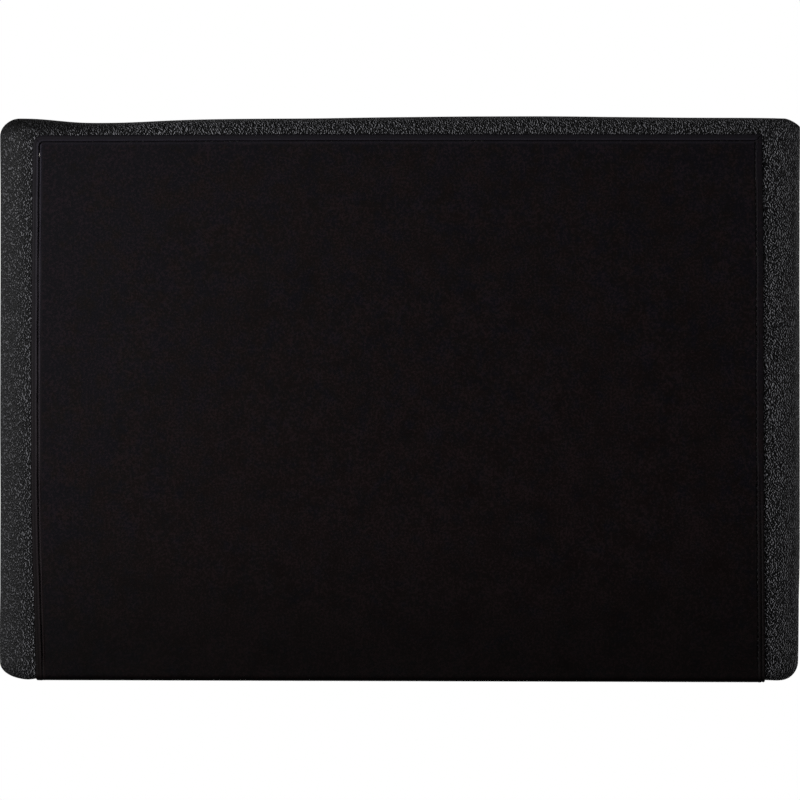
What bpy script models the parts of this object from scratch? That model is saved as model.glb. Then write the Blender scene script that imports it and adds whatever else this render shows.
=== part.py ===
"""Wall punch pad: foam on a plywood board, wrapped in grained vinyl, with a smooth sewn strike panel.

X runs right and Z up. The pad stands out from the wall along -Y, and its origin is the middle of
the board's back face, which lies on the wall. A depth is a distance from the wall, so y = -depth.
"""
import math

import bmesh
import bpy
import numpy as np

MM = 0.001
FULL_TURN = 2 * math.pi
HALF_TURN = math.pi
QUARTER_TURN = math.pi / 2

# Gaps between pieces that touch
CLEARANCE = 0.3 * MM
FOAM_EASE = 0.5 * MM          # between a foam layer's edge and the cover
THREAD_EASE = 0.2 * MM        # between the thread and the floor of its groove

# Cover outline
COVER_WIDTH = 432 * MM
COVER_HEIGHT = 303.3 * MM
TOP_CORNER_WIDE = 9 * MM
TOP_CORNER_HIGH = 7 * MM
BOTTOM_CORNER_WIDE = 16 * MM
BOTTOM_CORNER_HIGH = 8 * MM
FRONT_CORNER = 8 * MM         # corner of the flat front, inside the rounded edge

# Layers, from the wall outwards
BOARD_THICK = 12 * MM
BASE_FOAM_THICK = 12 * MM
CORE_FOAM_THICK = 16 * MM
SPREADER_THICK = 8 * MM
VINYL_THICK = 1.2 * MM
PANEL_THICK = 1.4 * MM
CROWN_HEIGHT = 3 * MM         # how far the middle of the face stands proud of its edge
PRESS_TRAVEL = 10 * MM        # how far a blow drives the panel and the spreader in

# Rounded front edge of the cover: reach across the face and depth, on each side
SIDE_ROUND_IN = 16 * MM
TOP_ROUND_IN = 8.5 * MM
BOTTOM_ROUND_IN = 3 * MM
SIDE_ROUND_DEEP = 12 * MM
TOP_ROUND_DEEP = 9 * MM
BOTTOM_ROUND_DEEP = 6 * MM

# Rear edge: the sides draw in towards the board, round it and end in a flat turned-in flange
REAR_DRAW_IN = 3 * MM
REAR_ROUND_IN = 4 * MM
REAR_ROUND_DEEP = 8 * MM
FLANGE_WIDTH = 24 * MM
FLANGE_CORNER = 6 * MM
FLANGE_ROOM = 1 * MM          # between the flange's edge and the step in the board

# Strike panel
SIDE_BORDER = 18.6 * MM       # vinyl that shows beside the panel
TOP_BORDER = 9.2 * MM
LIP_LENGTH = 14 * MM          # run of the panel along the underside
HEM_THICK = 2 * MM            # folded edge, double leather pressed flat
HEM_NOSE = 0.6 * MM           # rounding of the fold
GROOVE_FROM_EDGE = 3.7 * MM
GROOVE_FLOOR_WIDE = 1.1 * MM
GROOVE_WALL_RUN = 0.45 * MM
GROOVE_DEPTH = 0.4 * MM       # below the panel's own face
PANEL_CORNER = 6.5 * MM
THREAD_WIDE = 0.6 * MM

# Staples
STAPLE_CROWN = 9.5 * MM
STAPLE_LEG = 7 * MM
STAPLE_WIRE_THICK = 0.6 * MM
STAPLE_WIRE_WIDE = 0.95 * MM
STAPLE_FROM_FOLD = 14 * MM    # from the start of the flat flange
STAPLE_HOLE_EASE = 0.25 * MM
STAPLE_SINK = 0.4 * MM        # crowns below the wall plane
STAPLES_ALONG = 7             # along the top and the bottom
STAPLES_UP = 5                # up each side
STAPLE_END_SPACE = 46 * MM    # from the cover's corner to the first staple

# Keyhole hangers and their screws
PLATE_WIDTH = 50 * MM
PLATE_HEIGHT = 24 * MM
PLATE_THICK = 1.5 * MM
PLATE_CORNER = 3 * MM
PLATE_SPACING = 240 * MM
PLATE_FROM_TOP = 70 * MM      # plate centre below the cover's top edge
KEY_ENTRY_WIDE = 9 * MM
KEY_SLOT_WIDE = 5 * MM
KEY_SLOT_RUN = 8 * MM         # from the entry's centre to the slot's end centre
POCKET_ROOM = 1.5 * MM        # round the screw head behind the plate
POCKET_DEPTH = 7 * MM
SCREW_FROM_END = 7 * MM       # screw's axis from the plate's end
SCREW_HEAD_WIDE = 6 * MM
SCREW_SHANK_WIDE = 3 * MM
SCREW_TIP_WIDE = 0.8 * MM
SCREW_TIP_LONG = 2 * MM
SCREW_LENGTH = 9 * MM
RECESS_SPAN = 3.2 * MM        # cross recess in the screw head
RECESS_ARM = 0.7 * MM
RECESS_DEPTH = 0.9 * MM

# Depths that follow
FLANGE_REAR = STAPLE_SINK + STAPLE_WIRE_THICK + CLEARANCE
FLANGE_FRONT = FLANGE_REAR + VINYL_THICK
REBATE_DEPTH = FLANGE_FRONT + CLEARANCE
BASE_REAR = BOARD_THICK + CLEARANCE
CORE_REAR = BASE_REAR + BASE_FOAM_THICK + CLEARANCE
SPREADER_REAR = CORE_REAR + CORE_FOAM_THICK + CLEARANCE
COVER_FRONT = SPREADER_REAR + SPREADER_THICK + CLEARANCE + VINYL_THICK
SIDE_FULL = SPREADER_REAR - PRESS_TRAVEL - FOAM_EASE     # from here on the sides are at their widest
ROUND_START = COVER_FRONT - SIDE_ROUND_DEEP              # depth where the front rounding starts
REAR_CENTRE = FLANGE_REAR + REAR_ROUND_DEEP              # depth where the rear rounding starts
PLATE_REAR = CLEARANCE
PLATE_SEAT = PLATE_REAR + PLATE_THICK + CLEARANCE

# Places that follow
FRONT_HALF_WIDTH = COVER_WIDTH / 2 - SIDE_ROUND_IN
FRONT_TOP = COVER_HEIGHT / 2 - TOP_ROUND_IN
FRONT_BOTTOM = BOTTOM_ROUND_IN - COVER_HEIGHT / 2
PANEL_WIDTH = COVER_WIDTH - 2 * SIDE_BORDER
PANEL_TOP = COVER_HEIGHT / 2 - TOP_BORDER
PANEL_FRONT_RUN = PANEL_TOP - FRONT_BOTTOM
PANEL_BEND_RUN = QUARTER_TURN * math.hypot(BOTTOM_ROUND_IN, BOTTOM_ROUND_DEEP) / math.sqrt(2)
PANEL_LENGTH = PANEL_FRONT_RUN + PANEL_BEND_RUN + LIP_LENGTH
PLATE_HIGH = COVER_HEIGHT / 2 - PLATE_FROM_TOP
SCREW_SPACING = PLATE_WIDTH - 2 * SCREW_FROM_END
KEY_ENTRY_DROP = KEY_SLOT_RUN / 2                        # entry's centre below the plate's

# Fineness of the meshes
CORNER_STEPS = 4
LONG_STEPS = 4
SHORT_STEPS = 3
ROUND_STEPS = 5
REAR_STEPS = 2
CAP_SHARES = (0.85, 0.7, 0.45)
PANEL_STEPS = 7
BEND_STEPS = 6
ARC_STEPS = 10
TURN_STEPS = 16
THREAD_SIDES = 1              # bevel resolution of the thread's tube
SHARP_ANGLE = math.radians(35)


def clear_scene():
    for item in list(bpy.data.objects):
        bpy.data.objects.remove(item, do_unlink=True)


def finish_material(name, colour, roughness, metallic=0.0):
    """A plain Principled finish."""
    material = bpy.data.materials.new(name)
    material.use_nodes = True
    shader = material.node_tree.nodes["Principled BSDF"]
    shader.inputs["Base Color"].default_value = (*colour, 1)
    shader.inputs["Roughness"].default_value = roughness
    shader.inputs["Metallic"].default_value = metallic
    return material


def place(name, data, material=None, location=(0, 0, 0), turn=0.0):
    """A named object, turned about Y, in the scene."""
    item = bpy.data.objects.new(name, data)
    item.location = location
    item.rotation_euler = (0, turn, 0)
    if material and not data.materials:
        data.materials.append(material)
    bpy.context.scene.collection.objects.link(item)
    return item


def mesh_from(name, bm):
    """Close a bmesh into a smooth-shaded mesh whose faces point outwards."""
    bmesh.ops.recalc_face_normals(bm, faces=bm.faces)
    mesh = bpy.data.meshes.new(name)
    bm.to_mesh(mesh)
    bm.free()
    mesh.shade_smooth()
    mesh.set_sharp_from_angle(angle=SHARP_ANGLE)
    return mesh


def cutter(name, mesh, location=(0, 0, 0)):
    """A shape that only cuts others."""
    item = place(name, mesh, location=location)
    item.hide_render = True
    item.display_type = "WIRE"
    return item


def cut(item, tool):
    modifier = item.modifiers.new(tool.name, "BOOLEAN")
    modifier.operation = "DIFFERENCE"
    modifier.solver = "EXACT"
    modifier.object = tool


# Shared outlines

def outline(half_width, bottom, top, corners):
    """Points (x, z) anticlockwise round a rectangle with elliptical corners, from its lower right."""
    top_wide, top_high, bottom_wide, bottom_high = corners
    quarter = np.linspace(0, QUARTER_TURN, CORNER_STEPS + 1)
    sides = (
        (1, bottom, bottom_wide, bottom_high, -1, SHORT_STEPS),
        (1, top, top_wide, top_high, 0, LONG_STEPS),
        (-1, top, top_wide, top_high, 1, SHORT_STEPS),
        (-1, bottom, bottom_wide, bottom_high, 2, LONG_STEPS),
    )
    arcs = []
    for side, level, wide, high, turns, _ in sides:
        angle = quarter + turns * QUARTER_TURN
        inward = high if level == bottom else -high
        x = side * (half_width - wide) + wide * np.cos(angle)
        z = level + inward + high * np.sin(angle)
        arcs.append(np.column_stack([x, z]))
    points = []
    for index, arc in enumerate(arcs):
        following = arcs[(index + 1) % len(arcs)]
        share = np.linspace(0, 1, sides[index][-1] + 1)[1:-1, None]
        points += [arc, arc[-1] + (following[0] - arc[-1]) * share]
    return np.vstack(points)


def inset(depth, skin, round_in, round_deep):
    """How far in from the outline a surface lies that is skin under the cover's outer face."""
    if depth <= REAR_CENTRE:
        drop = min((REAR_CENTRE - depth) / (REAR_ROUND_DEEP - skin), 1)
        return REAR_DRAW_IN + REAR_ROUND_IN - (REAR_ROUND_IN - skin) * math.sqrt(1 - drop**2)
    if depth <= SIDE_FULL:
        return skin + REAR_DRAW_IN * (SIDE_FULL - depth) / (SIDE_FULL - REAR_CENTRE)
    rise = (depth - COVER_FRONT + round_deep) / (round_deep - skin)
    rise = min(max(rise, 0), 1)
    return round_in - (round_in - skin) * math.sqrt(1 - rise**2)


def crown(x, z):
    """Rise of the face at a point: a dome that falls to nothing at the edge of the flat front."""
    across = 1 - (x / FRONT_HALF_WIDTH) ** 2
    middle = (FRONT_TOP + FRONT_BOTTOM) / 2
    upright = 1 - ((z - middle) / (FRONT_TOP - middle)) ** 2
    return CROWN_HEIGHT * np.clip(across, 0, 1) * np.clip(upright, 0, 1)


def ring(depth, skin, crowned=False):
    """The pad's cross-section at a depth, as points in space, skin under the cover's outer face."""
    side = inset(depth, skin, SIDE_ROUND_IN, SIDE_ROUND_DEEP)
    top = inset(depth, skin, TOP_ROUND_IN, TOP_ROUND_DEEP)
    bottom = inset(depth, skin, BOTTOM_ROUND_IN, BOTTOM_ROUND_DEEP)
    share = min(side / SIDE_ROUND_IN, 1) if depth > SIDE_FULL else 0
    sizes = (TOP_CORNER_WIDE, TOP_CORNER_HIGH, BOTTOM_CORNER_WIDE, BOTTOM_CORNER_HIGH)
    corners = [size - skin + (FRONT_CORNER - size) * share for size in sizes]
    flat = outline(COVER_WIDTH / 2 - side, bottom - COVER_HEIGHT / 2, COVER_HEIGHT / 2 - top, corners)
    return lift(flat, depth, crowned)


def lift(flat, depth, crowned):
    """Points (x, z) set at a depth, with the face's crown added where asked."""
    rise = crown(flat[:, 0], flat[:, 1]) if crowned else 0
    return np.column_stack([flat[:, 0], np.full(len(flat), -depth) - rise, flat[:, 1]])


def cap_rings(edge, depth, crowned):
    """Rings inside an edge that shrink towards the middle of the face."""
    flat = edge[:, [0, 2]]
    middle = np.array([0, (FRONT_TOP + FRONT_BOTTOM) / 2])
    rings = [lift(middle + (flat - middle) * share, depth, crowned) for share in CAP_SHARES]
    return rings, lift(middle[None], depth, crowned)[0]


def loft(bm, rings, pole=None):
    """Join rings of equal count one after another, and close the last on a point. Gives the loops."""
    loops = [[bm.verts.new(point) for point in points] for points in rings]
    for one, two in zip(loops, loops[1:]):
        bridge(bm, one, two)
    if pole is not None:
        tip = bm.verts.new(pole)
        for index, vertex in enumerate(loops[-1]):
            bm.faces.new((vertex, loops[-1][index - 1], tip))
    return loops


def bridge(bm, one, two):
    for index in range(len(one)):
        bm.faces.new((one[index - 1], one[index], two[index], two[index - 1]))


def front_depths(skin):
    """Depths of the rings from the widest part of the sides round the cover's front edge."""
    angles = np.linspace(0, QUARTER_TURN, ROUND_STEPS + 1)
    return [SIDE_FULL] + [ROUND_START + (SIDE_ROUND_DEEP - skin) * math.sin(angle) for angle in angles]


def rear_depths(skin):
    """Depths of the rings round the cover's rear edge, from the flange to the side."""
    angles = np.linspace(QUARTER_TURN, 0, REAR_STEPS + 1)
    return [REAR_CENTRE - (REAR_ROUND_DEEP - skin) * math.sin(angle) for angle in angles]


def flange_outline(room=0.0):
    """The inner edge of the turned-in flange, drawn further in by some room."""
    in_from_side = REAR_DRAW_IN + REAR_ROUND_IN + FLANGE_WIDTH + room
    half_height = COVER_HEIGHT / 2 - in_from_side
    return outline(COVER_WIDTH / 2 - in_from_side, -half_height, half_height, [FLANGE_CORNER] * 4)


# Soft pieces

def foam_layer(name, rear, thick, material, rear_crowned, front_crowned):
    """A foam sheet that fills the cover's cross-section between two depths."""
    skin = VINYL_THICK + FOAM_EASE
    front = rear + thick
    depths = [rear] + [depth for depth in front_depths(skin) if rear < depth < front] + [front]
    bm = bmesh.new()
    last = len(depths) - 1
    rings = []
    for index, depth in enumerate(depths):
        crowned = (rear_crowned and index == 0) or (front_crowned and index == last)
        rings.append(ring(depth, skin, crowned))
    front_rings, front_pole = cap_rings(rings[-1], front, front_crowned)
    loops = loft(bm, rings + front_rings, front_pole)
    rear_rings, rear_pole = cap_rings(rings[0], rear, rear_crowned)
    rear_loops = loft(bm, rear_rings, rear_pole)
    bridge(bm, loops[0], rear_loops[0])
    return place(name, mesh_from(name, bm), material)


def cover_face(bm, skin):
    """One face of the vinyl: flange, rear edge, sides, rounded front edge and crowned front."""
    flange_depth = FLANGE_REAR + skin
    front = COVER_FRONT - skin
    depths = rear_depths(skin) + front_depths(skin)
    rings = [lift(flange_outline(), flange_depth, False)]
    rings += [ring(depth, skin, depth == depths[-1]) for depth in depths]
    caps, pole = cap_rings(rings[-1], front, True)
    return loft(bm, rings + caps, pole)


def vinyl_cover(material, staple_holes):
    """A cup of vinyl, open at the back, with a turned-in flange that the staples pierce."""
    bm = bmesh.new()
    outer = cover_face(bm, 0.0)
    inner = cover_face(bm, VINYL_THICK)
    bridge(bm, outer[0], inner[0])
    item = place("vinyl_cover", mesh_from("vinyl_cover", bm), material)
    cut(item, staple_holes)
    return item


# Strike panel

def round_corners(across, along):
    """Bend a rectangular grid so that the panel's corners become quarter circles."""
    side = np.minimum(across, PANEL_WIDTH - across)
    end = np.minimum(along, PANEL_LENGTH - along)
    near_side = np.clip(1 - side / PANEL_CORNER, 0, 1)
    near_end = np.clip(1 - end / PANEL_CORNER, 0, 1)
    reach = np.hypot(near_side, near_end)
    shrink = np.divide(np.maximum(near_side, near_end), reach, out=np.ones_like(reach), where=reach > 0)
    move_side = PANEL_CORNER * near_side * (1 - shrink)
    move_end = PANEL_CORNER * near_end * (1 - shrink)
    across = across + np.where(across < PANEL_WIDTH / 2, move_side, -move_side)
    along = along + np.where(along < PANEL_LENGTH / 2, move_end, -move_end)
    return across, along


def panel_point(across, along, height):
    """A point over the cover: down the front from the panel's top, under the bottom edge and back."""
    across, along = round_corners(across, along)
    x = across - PANEL_WIDTH / 2
    down = np.minimum(along, PANEL_FRONT_RUN)
    turn = np.clip((along - PANEL_FRONT_RUN) / PANEL_BEND_RUN, 0, 1) * QUARTER_TURN
    back = np.maximum(along - PANEL_FRONT_RUN - PANEL_BEND_RUN, 0)
    bend_deep = BOTTOM_ROUND_DEEP + height
    depth = COVER_FRONT - BOTTOM_ROUND_DEEP + bend_deep * np.cos(turn) - back
    depth = depth + crown(x, PANEL_TOP - down)
    z = PANEL_TOP - down - (BOTTOM_ROUND_IN + height) * np.sin(turn)
    return np.stack([x, -depth, z], axis=-1)


def hem_profile():
    """Distances from the panel's edge and the panel's thickness there: fold, groove and face."""
    floor = PANEL_THICK - GROOVE_DEPTH
    half = GROOVE_FLOOR_WIDE / 2
    return (
        (0.0, HEM_THICK - HEM_NOSE),
        (HEM_NOSE, HEM_THICK),
        (GROOVE_FROM_EDGE - half - GROOVE_WALL_RUN, HEM_THICK),
        (GROOVE_FROM_EDGE - half, floor),
        (GROOVE_FROM_EDGE + half, floor),
        (GROOVE_FROM_EDGE + half + GROOVE_WALL_RUN, PANEL_THICK),
        (PANEL_CORNER, PANEL_THICK),
    )


def panel_lines():
    """Grid lines across and along the panel, close together in the hem and round the bend."""
    hem = np.array([distance for distance, _ in hem_profile()])
    across = np.linspace(PANEL_CORNER, PANEL_WIDTH - PANEL_CORNER, PANEL_STEPS + 1)[1:-1]
    along = np.linspace(PANEL_CORNER, PANEL_FRONT_RUN, PANEL_STEPS + 1)[1:-1]
    bend = PANEL_FRONT_RUN + np.linspace(0, PANEL_BEND_RUN, BEND_STEPS + 1)
    return (
        np.concatenate([hem, across, PANEL_WIDTH - hem[::-1]]),
        np.concatenate([hem, along, bend, PANEL_LENGTH - hem[::-1]]),
    )


def strike_panel(material):
    """Leather sheet with a folded, grooved hem all round."""
    across, along = np.meshgrid(*panel_lines())
    edge = np.minimum(np.minimum(across, PANEL_WIDTH - across), np.minimum(along, PANEL_LENGTH - along))
    thickness = np.interp(edge, *np.array(hem_profile()).T)
    outer = panel_point(across, along, CLEARANCE + thickness)
    inner = panel_point(across, along, np.full_like(across, CLEARANCE))
    bm = bmesh.new()
    sheets = [[[bm.verts.new(point) for point in row] for row in grid] for grid in (outer, inner)]
    for sheet in sheets:
        for one, two in zip(sheet, sheet[1:]):
            for index in range(1, len(one)):
                bm.faces.new((one[index - 1], one[index], two[index], two[index - 1]))
    bridge(bm, *[sheet_rim(sheet) for sheet in sheets])
    return place("strike_panel", mesh_from("strike_panel", bm), material)


def sheet_rim(sheet):
    """The border of a grid of vertices, in order."""
    right = [row[-1] for row in sheet[1:-1]]
    left = [row[0] for row in sheet[1:-1]]
    return sheet[0] + right + sheet[-1][::-1] + left[::-1]


def panel_stitching(material):
    """One closed thread in the hem's groove, round all four edges of the panel."""
    across, along = panel_lines()
    near = GROOVE_FROM_EDGE
    across = across[(across > near) & (across < PANEL_WIDTH - near)]
    along = along[(along > near) & (along < PANEL_LENGTH - near)]
    far_side = PANEL_WIDTH - near
    far_end = PANEL_LENGTH - near
    loop = [(near, near)]
    loop += [(value, near) for value in across] + [(far_side, near)]
    loop += [(far_side, value) for value in along] + [(far_side, far_end)]
    loop += [(value, far_end) for value in across[::-1]] + [(near, far_end)]
    loop += [(near, value) for value in along[::-1]]
    loop = np.array(loop)
    height = CLEARANCE + PANEL_THICK - GROOVE_DEPTH + THREAD_EASE + THREAD_WIDE / 2
    points = panel_point(loop[:, 0], loop[:, 1], np.full(len(loop), height))
    curve = bpy.data.curves.new("panel_stitching", "CURVE")
    curve.dimensions = "3D"
    curve.bevel_depth = THREAD_WIDE / 2
    curve.bevel_resolution = THREAD_SIDES
    spline = curve.splines.new("POLY")
    spline.points.add(len(points) - 1)
    spline.points.foreach_set("co", np.column_stack([points, np.ones(len(points))]).ravel())
    spline.use_cyclic_u = True
    return place("panel_stitching", curve, material)


# Board, staples and hangers

def prism(name, points, near, far):
    """An outline (x, z) carried through from one depth to another."""
    bm = bmesh.new()
    loops = loft(bm, [lift(np.asarray(points), depth, False) for depth in (near, far)])
    for loop in loops:
        bm.faces.new(loop)
    return mesh_from(name, bm)


def turned(name, profile):
    """A round piece about the depth axis from (radius, depth) pairs."""
    angle = np.linspace(0, FULL_TURN, TURN_STEPS, endpoint=False)
    circle = np.column_stack([np.cos(angle), np.sin(angle)])
    bm = bmesh.new()
    loops = loft(bm, [lift(radius * circle, depth, False) for radius, depth in profile])
    bm.faces.new(loops[0])
    bm.faces.new(loops[-1])
    return mesh_from(name, bm)


def arc_points(centre_z, radius, start, sweep):
    """Points (x, z) on an arc about a centre on the Z axis, from an angle and through a sweep."""
    angle = start + np.linspace(0, sweep, ARC_STEPS + 1)
    return np.column_stack([radius * np.cos(angle), centre_z + radius * np.sin(angle)])


def keyhole_outline():
    """Round entry below, narrow slot with a round end above."""
    entry = KEY_ENTRY_WIDE / 2
    slot = KEY_SLOT_WIDE / 2
    mouth = math.asin(slot / entry)
    bottom = arc_points(-KEY_ENTRY_DROP, entry, QUARTER_TURN + mouth, FULL_TURN - 2 * mouth)
    return np.vstack([bottom, arc_points(KEY_SLOT_RUN - KEY_ENTRY_DROP, slot, 0, HALF_TURN)])


def pocket_outline():
    """Stadium round the whole keyhole, wide enough for a screw head behind the plate."""
    radius = KEY_ENTRY_WIDE / 2 + POCKET_ROOM
    top = arc_points(KEY_SLOT_RUN - KEY_ENTRY_DROP, radius, 0, HALF_TURN)
    return np.vstack([top, arc_points(-KEY_ENTRY_DROP, radius, HALF_TURN, HALF_TURN)])


def plate_outline(room=0.0):
    half_width = PLATE_WIDTH / 2 + room
    half_height = PLATE_HEIGHT / 2 + room
    return outline(half_width, -half_height, half_height, [PLATE_CORNER + room] * 4)


def staple_places():
    """Middle of each staple on the flange and whether it stands upright."""
    in_from_side = REAR_DRAW_IN + REAR_ROUND_IN + STAPLE_FROM_FOLD
    x_edge = COVER_WIDTH / 2 - in_from_side
    z_edge = COVER_HEIGHT / 2 - in_from_side
    along = np.linspace(-1, 1, STAPLES_ALONG) * (COVER_WIDTH / 2 - STAPLE_END_SPACE)
    up = np.linspace(-1, 1, STAPLES_UP) * (COVER_HEIGHT / 2 - STAPLE_END_SPACE)
    places = [(x, side * z_edge, False) for side in (1, -1) for x in along]
    return places + [(side * x_edge, z, True) for side in (-1, 1) for z in up]


def staple_mesh():
    """A U of flat wire: crown at the back, two legs with chisel tips."""
    half = STAPLE_CROWN / 2
    wire = STAPLE_WIRE_THICK
    tip = wire + STAPLE_LEG
    right = [(half, 0.0), (half, tip - wire), (half - wire, tip), (half - wire, wire)]
    points = right + [(-x, depth) for x, depth in right[::-1]]
    bm = bmesh.new()
    loops = []
    for z in (-STAPLE_WIRE_WIDE / 2, STAPLE_WIRE_WIDE / 2):
        loops.append([bm.verts.new((x, -depth, z)) for x, depth in points])
    bridge(bm, *loops)
    for loop in loops:
        bm.faces.new(loop)
    return mesh_from("staple", bm)


def staples(material):
    mesh = staple_mesh()
    for number, (x, z, upright) in enumerate(staple_places(), 1):
        turn = QUARTER_TURN if upright else 0.0
        place(f"staple_{number:02d}", mesh, material, (x, -STAPLE_SINK, z), turn)


def staple_hole_cutter():
    """One box round every staple leg, from behind the flange to past the leg's tip."""
    bm = bmesh.new()
    near = STAPLE_SINK
    far = STAPLE_SINK + STAPLE_WIRE_THICK + STAPLE_LEG + CLEARANCE
    reach = (STAPLE_CROWN - STAPLE_WIRE_THICK) / 2
    half_thick = STAPLE_WIRE_THICK / 2 + STAPLE_HOLE_EASE
    half_wide = STAPLE_WIRE_WIDE / 2 + STAPLE_HOLE_EASE
    for x, z, upright in staple_places():
        for side in (-1, 1):
            middle = np.array([x, z]) + side * reach * np.array([not upright, upright])
            half = np.array([half_wide, half_thick] if upright else [half_thick, half_wide])
            corners = middle + half * np.array([(-1, -1), (1, -1), (1, 1), (-1, 1)])
            for loop in loft(bm, [lift(corners, depth, False) for depth in (near, far)]):
                bm.faces.new(loop)
    return cutter("staple_hole_cutter", mesh_from("staple_hole_cutter", bm))


def plate_places():
    return {"left": -PLATE_SPACING / 2, "right": PLATE_SPACING / 2}


def backing_board(material, staple_holes):
    """Plywood with a rounded, stepped rear edge, seats and pockets for the hangers, and holes."""
    skin = VINYL_THICK + CLEARANCE
    depths = rear_depths(skin)
    rings = [ring(depths[-1], skin)]
    rings[0][:, 1] = -BOARD_THICK
    rings += [ring(depth, skin) for depth in depths[::-1]]
    step = flange_outline(FLANGE_ROOM)
    rings += [lift(step, REBATE_DEPTH, False), lift(step, 0.0, False)]
    bm = bmesh.new()
    loops = loft(bm, rings)
    bm.faces.new(loops[0])
    bm.faces.new(loops[-1])
    board = place("backing_board", mesh_from("backing_board", bm), material)
    cut(board, staple_holes)
    for x in plate_places().values():
        for tool in board_cutters(x):
            cut(board, tool)
    return board


def board_cutters(x):
    """Shapes cut out of the board for one hanger: its seat, the head's pocket and two screw holes."""
    where = (x, 0, PLATE_HIGH)
    radius = SCREW_SHANK_WIDE / 2 + CLEARANCE
    deepest = PLATE_REAR + SCREW_LENGTH + CLEARANCE
    seat = prism("seat_cutter", plate_outline(CLEARANCE), -CLEARANCE, PLATE_SEAT)
    pocket = prism("pocket_cutter", pocket_outline(), 0.0, PLATE_SEAT + POCKET_DEPTH)
    hole = turned("screw_hole_cutter", [(radius, PLATE_REAR), (radius, deepest)])
    tools = [cutter("seat_cutter", seat, where), cutter("pocket_cutter", pocket, where)]
    for shift in screw_shifts():
        tools.append(cutter("screw_hole_cutter", hole, (x + shift, 0, PLATE_HIGH)))
    return tools


def screw_shifts():
    return (-SCREW_SPACING / 2, SCREW_SPACING / 2)


def keyhole_plate(side, x, material):
    """Steel hanger with a keyhole and two countersunk screw holes."""
    where = (x, 0, PLATE_HIGH)
    mesh = prism("keyhole_plate", plate_outline(), PLATE_REAR, PLATE_REAR + PLATE_THICK)
    plate = place(f"keyhole_plate_{side}", mesh, material, where)
    through = (PLATE_REAR - PLATE_THICK, PLATE_REAR + 2 * PLATE_THICK)
    cut(plate, cutter("keyhole_cutter", prism("keyhole_cutter", keyhole_outline(), *through), where))
    head = SCREW_HEAD_WIDE / 2 + CLEARANCE
    shank = SCREW_SHANK_WIDE / 2 + CLEARANCE
    cone_end = PLATE_REAR + head - shank
    profile = [(head, PLATE_REAR - PLATE_THICK), (head, PLATE_REAR), (shank, cone_end)]
    profile.append((shank, cone_end + PLATE_THICK))
    sink = turned("countersink_cutter", profile)
    for shift in screw_shifts():
        cut(plate, cutter("countersink_cutter", sink, (x + shift, 0, PLATE_HIGH)))
    return plate


def screw_mesh():
    """Countersunk wood screw: cone head, plain shank and a tapered tip."""
    head = SCREW_HEAD_WIDE / 2
    shank = SCREW_SHANK_WIDE / 2
    profile = [(head, 0.0), (shank, head - shank)]
    profile += [(shank, SCREW_LENGTH - SCREW_TIP_LONG), (SCREW_TIP_WIDE / 2, SCREW_LENGTH)]
    return turned("plate_screw", [(radius, depth + PLATE_REAR) for radius, depth in profile])


def recess_outline():
    """A cross with square ends."""
    long = RECESS_SPAN / 2
    arm = RECESS_ARM / 2
    points = []
    for x_side, z_side in ((1, 1), (-1, 1), (-1, -1), (1, -1)):
        quarter = [(x_side * long, z_side * arm), (x_side * arm, z_side * arm), (x_side * arm, z_side * long)]
        points += quarter if x_side == z_side else quarter[::-1]
    return points


def plate_screws(side, x, material):
    mesh = screw_mesh()
    recess = prism("recess_cutter", recess_outline(), 0.0, PLATE_REAR + RECESS_DEPTH)
    for name, shift in zip(("outer", "inner"), screw_shifts() if x < 0 else screw_shifts()[::-1]):
        where = (x + shift, 0, PLATE_HIGH)
        screw = place(f"plate_screw_{side}_{name}", mesh, material, where)
        cut(screw, cutter("recess_cutter", recess, where))


def carry(items):
    """Hang the moving pieces on an empty that lies on the axis of the press."""
    axis = bpy.data.objects.new("strike_press_axis", None)
    axis.location = (0, -COVER_FRONT, 0)
    bpy.context.scene.collection.objects.link(axis)
    bpy.context.view_layer.update()
    for item in items:
        item.parent = axis
        item.matrix_parent_inverse = axis.matrix_world.inverted()


def main():
    clear_scene()
    vinyl = finish_material("grained_vinyl", (0.028, 0.028, 0.029), 0.55)
    leather = finish_material("smooth_leather", (0.008, 0.006, 0.0065), 0.6)
    thread = finish_material("black_thread", (0.012, 0.011, 0.012), 0.7)
    plywood = finish_material("birch_plywood", (0.52, 0.36, 0.2), 0.65)
    firm = finish_material("firm_foam", (0.11, 0.11, 0.12), 0.95)
    soft = finish_material("soft_foam", (0.62, 0.52, 0.3), 0.95)
    closed = finish_material("closed_cell_foam", (0.03, 0.03, 0.033), 0.8)
    steel = finish_material("zinc_plated_steel", (0.62, 0.63, 0.65), 0.32, 1.0)
    wire = finish_material("staple_wire", (0.55, 0.55, 0.56), 0.35, 1.0)
    screw = finish_material("screw_steel", (0.6, 0.58, 0.5), 0.3, 1.0)

    staple_holes = staple_hole_cutter()
    backing_board(plywood, staple_holes)
    foam_layer("base_foam", BASE_REAR, BASE_FOAM_THICK, firm, False, False)
    foam_layer("core_foam", CORE_REAR, CORE_FOAM_THICK, soft, False, True)
    spreader = foam_layer("spreader_foam", SPREADER_REAR, SPREADER_THICK, closed, True, True)
    vinyl_cover(vinyl, staple_holes)
    panel = strike_panel(leather)
    stitching = panel_stitching(thread)
    carry([spreader, panel, stitching])
    staples(wire)
    for side, x in plate_places().items():
        keyhole_plate(side, x, steel)
        plate_screws(side, x, screw)


main()
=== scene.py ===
import math

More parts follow.
